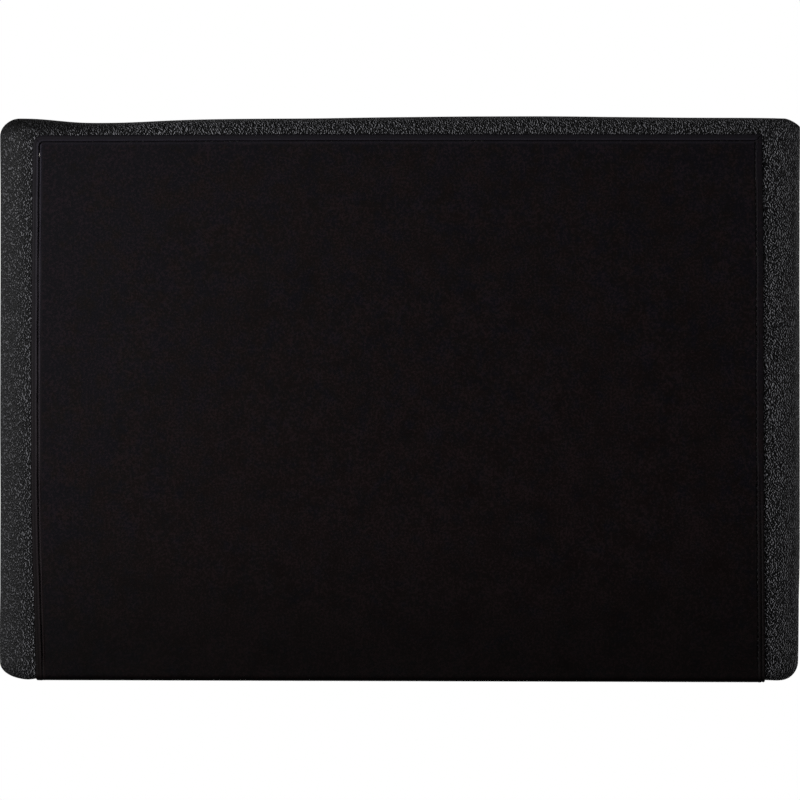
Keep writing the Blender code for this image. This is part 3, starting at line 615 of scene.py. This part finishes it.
def panel_thickness(across, along):
    """The leather's thickness over its flat cut, its distance from the edge, and its share of painted hem
    light.

    The hem's section, whose groove comes and goes in an irregular wave and with each stitch and
    is flatter round the fold, less bell-shaped creases in the right hem and at the upper corners'
    mitres, plus low swells of the field that are the product of two irregular waves.
    """
    side_edge = np.minimum(across, PANEL_WIDTH - across)
    end_edge = np.minimum(along, PANEL_LENGTH - along)
    edge = np.minimum(side_edge, end_edge)
    on_side = side_edge < end_edge
    on_left = across < PANEL_WIDTH / 2
    inner_share, outer_light, inner_light = (np.where(on_side, np.where(on_left, left, right), end)
                                         for left, right, end in (INNER_BEADS, OUTER_HEM_LIGHT, INNER_HEM_LIGHT))
    path = np.where(on_side, along, across)
    bent = smooth(PANEL_FRONT_RUN - 12 * MM, PANEL_FRONT_RUN + 2 * MM, along)
    beat = GROOVE_BEAT * np.cos(2 * math.pi * path / STITCH_PITCH)
    depth_share = GROOVE_SHARE + GROOVE_WANDER * ripple(path, 46 * MM, 0.4) + beat
    depth_share = depth_share * (1 - BENT_FLATTER * bent)
    hem_flat = np.where(on_side & ~on_left, RIGHT_HEM_THICK, HEM_THICK)
    hem_thick = hem_flat + (BENT_HEM_THICK - hem_flat) * bent
    wander = HEM_WANDER * ripple(along + 2 * across, 37 * MM, 0.7) * smooth(0, 2 * MM, edge)
    thick = hem_section(edge + wander, depth_share, inner_share, hem_thick)
    crease = np.exp(-(((PANEL_WIDTH - across - FOLD_CREASE_AT) / FOLD_CREASE_REACH) ** 2))
    crease = crease * smooth(175 * MM, 215 * MM, along) * (1 - smooth(PANEL_FRONT_RUN, PANEL_LENGTH, along))
    thick = thick - FOLD_CREASE_DEPTH * crease * smooth(0, 1 * MM, side_edge)
    mitre = np.exp(-(((side_edge - end_edge) / MITRE_REACH) ** 2)) * (1 - smooth(3 * MM, 4.2 * MM, edge))
    thick = thick - MITRE_DEPTH * mitre * smooth(0, 0.8 * MM, edge) * (along < PANEL_LENGTH / 2)
    field = smooth(6 * MM, 40 * MM, edge)
    swell = FIELD_SWELL * ripple(across + 0.4 * along, 120 * MM, 1.3) * ripple(along, 140 * MM, 2.2) * field
    # share of painted hem light, set per side: strongest on the left where the light falls
    hem_light_share = np.where(edge < GROOVE_AT + 0.3 * MM, outer_light, inner_light)
    hem_light_share = hem_light_share * (1 - LOWER_HEM_LIGHT_LOSS * smooth(150 * MM, 200 * MM, along) * on_left)
    return thick + swell, edge, hem_light_share


def panel_leather(material):
    """The strike panel: outer face with hem and groove, inner face, and the walls that join them."""
    across, along = np.meshgrid(edge_stations(PANEL_WIDTH, FINE_EDGE, FINE_EDGE),
                                edge_stations(PANEL_LENGTH, FINE_EDGE, FINE_LOWER_END))
    thick, edge, hem_light_share = panel_thickness(across, along)
    for right, low, radius in PANEL_CORNERS:
        across, along = round_corner(across, along, right, low, radius)
    outer = panel_point(across, along, PANEL_GAP + thick)
    inner = panel_point(across, along, np.full(across.shape, PANEL_GAP))
    rows, columns = across.shape
    count = rows * columns
    face = grid_faces(rows, columns, False)
    index = np.arange(count).reshape(rows, columns)
    rim = np.concatenate([index[0], index[1:, -1], index[-1, -2::-1], index[-2:0:-1, 0]])
    following = np.roll(rim, -1)
    wall = np.stack([rim, following, following + count, rim + count], axis=-1)
    quads = np.vstack([face[:, ::-1], face + count, wall])
    points = np.vstack([outer.reshape(-1, 3), inner.reshape(-1, 3)])
    item = piece("strike_panel_leather", points, (quads,), material)
    face_value(item, "edge_distance", np.tile((edge / MM).ravel(), 2))
    # share of painted hem light: painted highlight on the hem and beads, painted shade in the groove
    face_value(item, "hem_painted_light", np.tile(hem_light_share.ravel(), 2))
    return item


def stitches(material):
    """Separate stitches along the groove, each a tapered bead whose ends dip into the leather.

    The path runs up the left side, along the top, down the right side and back along the lip.
    Each bead is a tube whose radius follows the root of a cosine along its length. One stitch is pale, and
    stands a little higher.
    """
    left_run = np.arange(GROOVE_AT, PANEL_LENGTH - GROOVE_AT, STITCH_PITCH)
    top_run = np.arange(GROOVE_AT + STITCH_PITCH / 2, PANEL_WIDTH - GROOVE_AT, STITCH_PITCH)
    side, end = len(left_run), len(top_run)
    across = np.concatenate([np.full(side, GROOVE_AT), top_run,
                             np.full(side, PANEL_WIDTH - GROOVE_AT), top_run])
    along = np.concatenate([left_run, np.full(end, GROOVE_AT),
                            left_run, np.full(end, PANEL_LENGTH - GROOVE_AT)])
    upright = np.repeat([1.0, 0.0, 1.0, 0.0], [side, end, side, end])
    t = np.linspace(-0.5, 0.5, STITCH_RINGS)
    turn = np.linspace(0, 2 * math.pi, STITCH_SIDES + 1)[:-1]
    reach = t[None, :, None] * STITCH_LENGTH
    radius = STITCH_RADIUS * np.clip(np.cos(math.pi * t), 0.25, 1)[None, :, None] ** 0.5
    stand = upright[:, None, None]
    sideways = radius * np.cos(turn)[None, None] * (2 * stand - 1)
    pale_stitch = int((PALE_STITCH_AT - GROOVE_AT) / STITCH_PITCH + 0.5)
    pale = (np.arange(len(across)) == pale_stitch).astype(float)
    arch = STITCH_ARCH * np.cos(math.pi * t)[None, :, None]
    lift = PANEL_GAP + STITCH_LIFT + radius * np.sin(turn)[None, None] + arch
    lift = lift + PALE_STITCH_LIFT * pale[:, None, None]
    place_across = across[:, None, None] + reach * (1 - stand) + sideways * stand
    place_along = along[:, None, None] + reach * stand + sideways * (1 - stand)
    points = panel_point(place_across, place_along, np.broadcast_to(lift, place_across.shape))
    count, length, sides = place_across.shape
    ends = np.stack([np.arange(sides)[::-1], np.arange(sides) + (length - 1) * sides])
    first = (np.arange(count) * length * sides)[:, None, None]
    tubes = (grid_faces(length, sides, True)[None] + first).reshape(-1, 4)
    faces = (tubes, (ends[None] + first).reshape(-1, sides))
    item = piece("edge_stitches", points, faces, material)
    face_value(item, "pale_thread", np.repeat(pale, length * sides))
    return item


# Materials

# Settings that several nodes share
EASED = {"interpolation_type": "SMOOTHSTEP"}
COLOURS = {"data_type": "RGBA"}
SUM = {"operation": "ADD"}
PRODUCT = {"operation": "MULTIPLY"}


def linear(colour):
    """An sRGB hex colour as linear red, green, blue and alpha."""
    values = np.array([int(colour[i:i + 2], 16) for i in (1, 3, 5)]) / 255
    values = np.where(values <= 0.04045, values / 12.92, ((values + 0.055) / 1.055) ** 2.4)
    return (*values.tolist(), 1.0)


def connect(tree, node, **inputs):
    """Sets a node's inputs, by name or as i and a number, to values or links them from other sockets."""
    for key, value in inputs.items():
        by_number = key[0] == "i" and key[1:].isdigit()
        socket = node.inputs[int(key[1:]) if by_number else key.replace("_", " ")]
        if isinstance(value, bpy.types.NodeSocket):
            tree.links.new(value, socket)
        else:
            socket.default_value = value


def add(tree, kind, settings=None, **inputs):
    """A node with its settings and its inputs."""
    node = tree.nodes.new(kind)
    for key, value in (settings or {}).items():
        setattr(node, key, value)
    connect(tree, node, **inputs)
    return node


def new_material(name, **sockets):
    """A Principled material with constants set on its own sockets. Gives its tree and shader too."""
    material = bpy.data.materials.new(name)
    material.use_nodes = True
    shader = material.node_tree.nodes["Principled BSDF"]
    connect(material.node_tree, shader, **sockets)
    return material, material.node_tree, shader


def ramp(tree, factor, *stops):
    """A colour ramp with stops given as place and hex colour."""
    node = add(tree, "ShaderNodeValToRGB", Fac=factor)
    elements = node.color_ramp.elements
    while len(elements) < len(stops):
        elements.new(0.5)
    for element, (where, colour) in zip(elements, stops):
        element.position = where
        element.color = linear(colour)
    return node.outputs["Color"]


def per_mm(size):
    """Texture scale whose cells are size millimetres, on coordinates in metres."""
    return 1000 / size


def object_place(tree):
    """Object coordinates, in metres."""
    return add(tree, "ShaderNodeTexCoord").outputs["Object"]


def grained_vinyl():
    """Calendered PVC with an embossed pebble grain: shiny pebble tops and dull creases.

    Its pebble tops are painted pale and its creases black, a painted highlight on the tops and painted shade
    in the creases. Its left side is painted lighter and flatter, a painted sheen of the light from the left,
    and it is painted darker where its painted shade lies.
    """
    material, tree, shader = new_material("embossed_pvc_vinyl", IOR=1.5, Specular_IOR_Level=0.15)
    place = add(tree, "ShaderNodeAttribute", {"attribute_name": "place_at_rest"}).outputs["Vector"]
    pebble = add(tree, "ShaderNodeTexGabor", {"gabor_type": "3D"}, Vector=place, Scale=per_mm(1.95),
                 Frequency=2.0, Anisotropy=0.58, i5=(0.77, 0.0, 0.64))
    height = add(tree, "ShaderNodeMapRange", EASED,
                 Value=pebble.outputs["Value"], i1=0.36, i2=0.68, i3=0.0, i4=1.0)
    # painted highlight and shade: the grain's colour runs from black in the creases to pale grey on the
    # pebble tops
    bare = ramp(tree, height.outputs[0], (0.1, "#000000"), (0.4, "#080808"),
                (0.7, "#404043"), (1.0, "#98989d"))
    reach = add(tree, "ShaderNodeSeparateXYZ", Vector=place).outputs["X"]
    # painted sheen: the left side is mixed towards a flat grey, lighter and with less contrast
    left_sheen = add(tree, "ShaderNodeMapRange", EASED, Value=reach, i1=-210 * MM, i2=-190 * MM, i3=0.75, i4=0.05)
    colour = add(tree, "ShaderNodeMix", COLOURS, Factor=left_sheen.outputs[0], i6=bare, i7=linear("#2d2d2e"))
    # painted shade: mixed to black along the top border, at its left end and in the tucks' creases
    painted_shade = add(tree, "ShaderNodeAttribute", {"attribute_name": "painted_shade"}).outputs["Fac"]
    painted_shade_mix = add(tree, "ShaderNodeMix", COLOURS, Factor=painted_shade, i6=colour.outputs[2], i7=linear("#000000"))
    gloss = add(tree, "ShaderNodeMapRange", Value=height.outputs[0], i1=0.0, i2=1.0, i3=0.6, i4=0.4)
    bump = add(tree, "ShaderNodeBump", Height=height.outputs[0], Strength=1.0, Distance=0.8 * MM)
    connect(tree, shader, Base_Color=painted_shade_mix.outputs[2], Roughness=gloss.outputs[0], Normal=bump.outputs[0])
    return material


def smooth_leather():
    """Corrected-grain leather, dyed brown-black and waxed: matt, with fine specks over faint clouds.

    Its cast is cooler at the left and along the edge, a painted sheen of the key light, and browner lower
    down. The hem is painted paler on both sides of the groove and dark in it, a painted highlight on the hem
    and its beads and painted shade in the groove, strongest on the left where the light falls, and the panel
    is darker towards its foot. The grain of the bump is drawn coarser than life, so that it shows.
    """
    material, tree, shader = new_material("waxed_smooth_leather", IOR=1.36, Specular_IOR_Level=0.2)
    where = object_place(tree)
    edge = add(tree, "ShaderNodeAttribute", {"attribute_name": "edge_distance"}).outputs["Fac"]
    cloud = add(tree, "ShaderNodeTexNoise", Vector=where, Scale=per_mm(14), Detail=4.0, Roughness=0.6)
    tint = add(tree, "ShaderNodeTexNoise", Vector=where, Scale=per_mm(8), Detail=4.0, Roughness=0.65)
    fleck = add(tree, "ShaderNodeTexNoise", Vector=where, Scale=per_mm(1.2), Detail=2.0, Roughness=0.7)
    mix = add(tree, "ShaderNodeMix", Factor=0.76, i2=cloud.outputs["Fac"], i3=fleck.outputs["Fac"])
    dyed = ramp(tree, mix.outputs[0], (0.4, "#020102"), (0.5, "#0b0708"), (0.6, "#24181c"))
    # painted sheen: a cooler cast along the edge and at the left, carried through the hue ramp
    edge_sheen = add(tree, "ShaderNodeMapRange", EASED, Value=edge, i1=6.0, i2=30.0, i3=0.07, i4=0.0)
    parts = add(tree, "ShaderNodeSeparateXYZ", Vector=where)
    height = parts.outputs["Z"]
    cool = add(tree, "ShaderNodeMapRange", EASED, Value=parts.outputs["X"],
               i1=-200 * MM, i2=-70 * MM, i3=0.11, i4=0.0)
    warm = add(tree, "ShaderNodeMapRange", EASED, Value=height, i1=-150 * MM, i2=140 * MM, i3=-0.11, i4=0.02)
    sides = add(tree, "ShaderNodeMath", SUM, i0=cool.outputs[0], i1=warm.outputs[0])
    shift = add(tree, "ShaderNodeMath", SUM, i0=sides.outputs[0], i1=edge_sheen.outputs[0])
    cast = add(tree, "ShaderNodeMath", SUM, i0=tint.outputs["Fac"], i1=shift.outputs[0])
    hue = ramp(tree, cast.outputs[0], (0.38, "#150908"), (0.5, "#0f090b"), (0.62, "#0b0914"))
    mottled = add(tree, "ShaderNodeMix", COLOURS, Factor=0.45, i6=dyed, i7=hue)
    share = add(tree, "ShaderNodeMath", {"operation": "DIVIDE"}, i0=edge, i1=8.0)
    # painted light on the hem: the band and inner bead paler as painted highlight, the groove's stop near
    # black as painted shade
    hem_lit_colour = ramp(tree, share.outputs[0], (0.0, "#191619"), (0.25, "#1d1a1e"), (0.375, "#2e2a30"),
                (0.475, "#0a0809"), (0.575, "#39353c"), (0.7, "#191619"))
    level = add(tree, "ShaderNodeMapRange", Value=height, i1=-150 * MM, i2=140 * MM, i3=0.0, i4=1.0)
    # the hem is darker and browner towards the bottom and cooler at the top
    height_tone = ramp(tree, level.outputs[0], (0.0, "#e0ccbc"), (0.45, "#f4eae6"),
               (0.6, "#fffcfc"), (1.0, "#f0f4ff"))
    hem_toned = add(tree, "ShaderNodeVectorMath", PRODUCT, i0=hem_lit_colour, i1=height_tone)
    hem_band = add(tree, "ShaderNodeMapRange", EASED, Value=edge, i1=4.8, i2=6.4, i3=0.8, i4=0.0)
    hem_side_light = add(tree, "ShaderNodeAttribute", {"attribute_name": "hem_painted_light"}).outputs["Fac"]
    hem_light_share = add(tree, "ShaderNodeMath", PRODUCT, i0=hem_band.outputs[0], i1=hem_side_light)
    hem = add(tree, "ShaderNodeMix", COLOURS, Factor=hem_light_share.outputs[0], i6=mottled.outputs[2],
              i7=hem_toned.outputs[0])
    # darker and browner towards the foot of the panel
    above_foot = add(tree, "ShaderNodeMapRange", EASED, Value=height, i1=-160 * MM, i2=-60 * MM, i3=0.0, i4=1.0)
    foot_tone = ramp(tree, above_foot.outputs[0], (0.0, "#ac9f9d"), (1.0, "#ffffff"))
    foot_toned = add(tree, "ShaderNodeVectorMath", PRODUCT, i0=hem.outputs[2], i1=foot_tone)
    grain = add(tree, "ShaderNodeTexVoronoi", {"feature": "F1"}, Vector=where, Scale=per_mm(1.1))
    bump = add(tree, "ShaderNodeBump", Height=grain.outputs["Distance"], Strength=0.35, Distance=0.06 * MM)
    gloss = add(tree, "ShaderNodeMapRange", Value=cloud.outputs["Fac"], i1=0.3, i2=0.7, i3=0.55, i4=0.68)
    connect(tree, shader, Base_Color=foot_toned.outputs[0], Roughness=gloss.outputs[0], Normal=bump.outputs[0])
    return material


def black_thread():
    """Bonded polyester thread: twisted, with one stitch that is near white."""
    material, tree, shader = new_material("bonded_polyester_thread", Roughness=0.6)
    where = object_place(tree)
    bare = add(tree, "ShaderNodeAttribute", {"attribute_name": "pale_thread"}).outputs["Fac"]
    twist = add(tree, "ShaderNodeTexNoise", Vector=where, Scale=per_mm(0.5), Detail=1.0)
    dyed = ramp(tree, twist.outputs["Fac"], (0.3, "#050405"), (0.7, "#0d0b0c"))
    colour = add(tree, "ShaderNodeMix", COLOURS, Factor=bare, i6=dyed, i7=linear("#e8e4dc"))
    bump = add(tree, "ShaderNodeBump", Height=twist.outputs["Fac"], Strength=0.5, Distance=0.1 * MM)
    connect(tree, shader, Base_Color=colour.outputs[2], Normal=bump.outputs[0])
    return material


def cut_foam(name, dark, light, cell):
    """Cut foam: its cells, of a given size, show as pits on every face, painted darker at their centres as
    painted shade in the pits.
    """
    material, tree, shader = new_material(name, Roughness=0.95)
    where = object_place(tree)
    cells = add(tree, "ShaderNodeTexVoronoi", {"feature": "F1"}, Vector=where, Scale=per_mm(cell))
    # painted shade: darker where the bump makes pits
    colour = ramp(tree, cells.outputs["Distance"], (0.1, dark), (0.6, light))
    bump = add(tree, "ShaderNodeBump", Height=cells.outputs["Distance"], Strength=0.6, Distance=0.3 * MM)
    connect(tree, shader, Base_Color=colour, Normal=bump.outputs[0])
    return material


def birch_plywood():
    """Rotary-cut birch plywood, sanded: flowing grain on each face, alternating plies at the edges."""
    material, tree, shader = new_material("sanded_birch_plywood", IOR=1.5)
    where = object_place(tree)
    stretch = add(tree, "ShaderNodeMapping", Vector=where, Scale=(0.06, 1.0, 1.0))
    figure = add(tree, "ShaderNodeTexNoise", Vector=stretch.outputs[0], Scale=per_mm(14), Detail=4.0,
                 Distortion=1.2)
    fibre = add(tree, "ShaderNodeTexNoise", Vector=stretch.outputs[0], Scale=per_mm(1.2), Detail=3.0)
    mix = add(tree, "ShaderNodeMath", {"operation": "MULTIPLY_ADD"}, i0=fibre.outputs["Fac"], i1=0.5,
              i2=figure.outputs["Fac"])
    wood = ramp(tree, mix.outputs[0], (0.5, "#a97f50"), (0.72, "#cfa876"), (0.95, "#e0c196"))
    parts = add(tree, "ShaderNodeSeparateXYZ", Vector=where)
    layer = add(tree, "ShaderNodeMath", {"operation": "WRAP"}, i0=parts.outputs["Y"], i1=0.0, i2=2.8 * MM)
    band = add(tree, "ShaderNodeMapRange", EASED, Value=layer.outputs[0],
               i1=1.3 * MM, i2=1.5 * MM, i3=1.0, i4=0.72)
    grey = add(tree, "ShaderNodeCombineColor", Red=band.outputs[0], Green=band.outputs[0],
               Blue=band.outputs[0])
    shade = add(tree, "ShaderNodeMix", {"data_type": "RGBA", "blend_type": "MULTIPLY"}, Factor=1.0,
                i6=wood, i7=grey.outputs[0])
    bump = add(tree, "ShaderNodeBump", Height=fibre.outputs["Fac"], Strength=0.3, Distance=0.1 * MM)
    gloss = add(tree, "ShaderNodeMapRange", Value=mix.outputs[0], i1=0.5, i2=1.0, i3=0.6, i4=0.75)
    connect(tree, shader, Base_Color=shade.outputs[2], Roughness=gloss.outputs[0], Normal=bump.outputs[0])
    return material


def plated_steel(name, dark, light, patch, low, high):
    """Zinc-plated steel: bright metal clouded in patches, with a faint rolled grain."""
    material, tree, shader = new_material(name, Metallic=1.0)
    where = object_place(tree)
    cloud = add(tree, "ShaderNodeTexNoise", Vector=where, Scale=per_mm(patch), Detail=4.0)
    colour = ramp(tree, cloud.outputs["Fac"], (0.35, dark), (0.65, light))
    stretch = add(tree, "ShaderNodeMapping", Vector=where, Scale=(0.1, 1.0, 1.0))
    rolled = add(tree, "ShaderNodeTexNoise", Vector=stretch.outputs[0], Scale=per_mm(0.6), Detail=2.0)
    gloss = add(tree, "ShaderNodeMapRange", Value=cloud.outputs["Fac"], i1=0.3, i2=0.7, i3=low, i4=high)
    bump = add(tree, "ShaderNodeBump", Height=rolled.outputs["Fac"], Strength=0.25, Distance=0.05 * MM)
    connect(tree, shader, Base_Color=colour, Roughness=gloss.outputs[0], Normal=bump.outputs[0])
    return material


# The pad

vinyl = grained_vinyl()
leather = smooth_leather()
thread = black_thread()

cover = cover_skin(vinyl)
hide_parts("vinyl_cover")

panel = panel_leather(leather)
sewing = stitches(thread)
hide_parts("strike_panel")
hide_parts("panel_stitching")

base = foam_slab("base_foam_slab", BASE_REAR, BASE_FRONT, False, False,
                 cut_foam("rebonded_firm_foam", "#4a4d52", "#7d8086", 1.6))
core = foam_slab("core_foam_slab", CORE_REAR, CORE_FRONT, False, True,
                 cut_foam("open_cell_polyurethane_foam", "#b9a873", "#e3d7ac", 1.1))
spreader = foam_slab("spreader_foam_slab", SPREADER_REAR, SPREADER_FRONT, True, True,
                     cut_foam("closed_cell_polyethylene_foam", "#26282b", "#3c3f44", 0.7))
for slab, node in ((base, "base_foam"), (core, "core_foam"), (spreader, "spreader_foam")):
    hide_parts(node)

zinc = plated_steel("zinc_plated_steel", "#8f949a", "#c2c6ca", 9, 0.3, 0.5)
yellow = plated_steel("yellow_passivated_steel", "#8a6f35", "#c8ac63", 3, 0.3, 0.45)
wire = plated_steel("galvanised_wire", "#84898f", "#b9bdc2", 4, 0.35, 0.5)
birch = birch_plywood()
for name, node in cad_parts.items():
    finish = {"backing": birch, "keyhole": zinc, "plate": yellow, "staple": wire}.get(name.split("_")[0])
    if finish is not None:
        node.data.materials.clear()
        node.data.materials.append(finish)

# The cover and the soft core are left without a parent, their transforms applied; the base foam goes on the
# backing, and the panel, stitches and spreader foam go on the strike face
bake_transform(cover)
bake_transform(core)
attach(base, "backing")
for item in (panel, sewing, spreader):
    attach(item, "strike_face")


# Studio

FLOOR_LEVEL = -0.9
FLOOR_RADII = np.array([0.001, 1.5, 3.0, 5.0])
FLOOR_POINTS = 96


def studio_floor():
    """A wide pale disc, well below the pad, that throws no light back on it and is clear from below."""
    angle = np.linspace(0, 2 * math.pi, FLOOR_POINTS + 1)[:-1]
    radius = FLOOR_RADII[:, None]
    x, y = radius * np.cos(angle)[None], radius * np.sin(angle)[None]
    points = np.stack([x, y, np.full(x.shape, FLOOR_LEVEL)], axis=-1)
    pale = linear("#e6e4e0")
    material, tree, shader = new_material("matt_paint", Roughness=0.9, Base_Color=pale, Emission_Color=pale,
                                          Emission_Strength=0.85)
    under = add(tree, "ShaderNodeNewGeometry").outputs["Backfacing"]
    clear = add(tree, "ShaderNodeBsdfTransparent")
    either = add(tree, "ShaderNodeMixShader", i0=under, i1=shader.outputs[0], i2=clear.outputs[0])
    connect(tree, tree.nodes["Material Output"], Surface=either.outputs[0])
    mesh = bpy.data.meshes.new("floor")
    faces = grid_faces(len(FLOOR_RADII), FLOOR_POINTS, True)[:, ::-1]
    mesh.from_pydata(points.reshape(-1, 3).tolist(), [], faces.tolist())
    mesh.materials.append(material)
    floor = bpy.data.objects.new("floor", mesh)
    floor.visible_diffuse = False
    floor.visible_glossy = False
    bpy.context.scene.collection.objects.link(floor)


def studio_world():
    """White behind the pad and dim in front of it; the camera itself sees white all round."""
    world = bpy.data.worlds.new("studio")
    world.use_nodes = True
    tree = world.node_tree
    tree.nodes.clear()
    way = add(tree, "ShaderNodeTexCoord").outputs["Generated"]
    behind = add(tree, "ShaderNodeSeparateXYZ", Vector=way).outputs["Y"]
    level = add(tree, "ShaderNodeMapRange", EASED, Value=behind, i1=-0.1, i2=0.9, i3=0.03, i4=0.15)
    lit = add(tree, "ShaderNodeBackground", Color=(1, 1, 1, 1), Strength=level.outputs[0])
    white = add(tree, "ShaderNodeBackground", Color=(1, 1, 1, 1), Strength=1.0)
    seen = add(tree, "ShaderNodeLightPath").outputs["Is Camera Ray"]
    both = add(tree, "ShaderNodeMixShader", i0=seen, i1=lit.outputs[0], i2=white.outputs[0])
    add(tree, "ShaderNodeOutputWorld", Surface=both.outputs[0])
    bpy.context.scene.world = world


def soft_box(name, place, aim, wide, power):
    """A square area light turned towards a point."""
    data = bpy.data.lights.new(name, "AREA")
    data.shape = "SQUARE"
    data.size = wide
    data.energy = power
    light = bpy.data.objects.new(name, data)
    light.location = place
    offset = [a - b for a, b in zip(aim, place)]
    light.visible_camera = False
    light.rotation_euler = Vector(offset).to_track_quat("-Z", "Y").to_euler()
    bpy.context.scene.collection.objects.link(light)


def studio_camera():
    """Square on to the face, far enough off that the whole width fills the frame through a long lens."""
    data = bpy.data.cameras.new("camera")
    data.lens = LENS
    data.sensor_width = SENSOR
    data.clip_end = 100
    camera = bpy.data.objects.new("camera", data)
    distance = FRAME_WIDTH * LENS / SENSOR
    camera.location = (0, -ROUND_START - distance, CAMERA_HEIGHT)
    camera.rotation_euler = (QUARTER_TURN, 0, 0)
    bpy.context.scene.collection.objects.link(camera)
    bpy.context.scene.camera = camera


studio_floor()
studio_world()
soft_box("key", (-0.78, -0.8, 0.3), (-0.05, 0, 0.02), 0.4, 8.3)
soft_box("left", (-0.9, 0.1, 0.0), (-0.2, 0, 0), 0.5, 0.3)
soft_box("right", (0.9, 0.1, 0.0), (0.2, 0, 0), 0.5, 0.75)
soft_box("fill", (0.8, -0.9, 0.52), (0.2, 0, 0.1), 0.2, 2.0)
soft_box("behind", (0.3, 2.4, -0.2), (0, 0, 0), 1.2, 18)
studio_camera()
bpy.context.scene.view_settings.view_transform = "Standard"
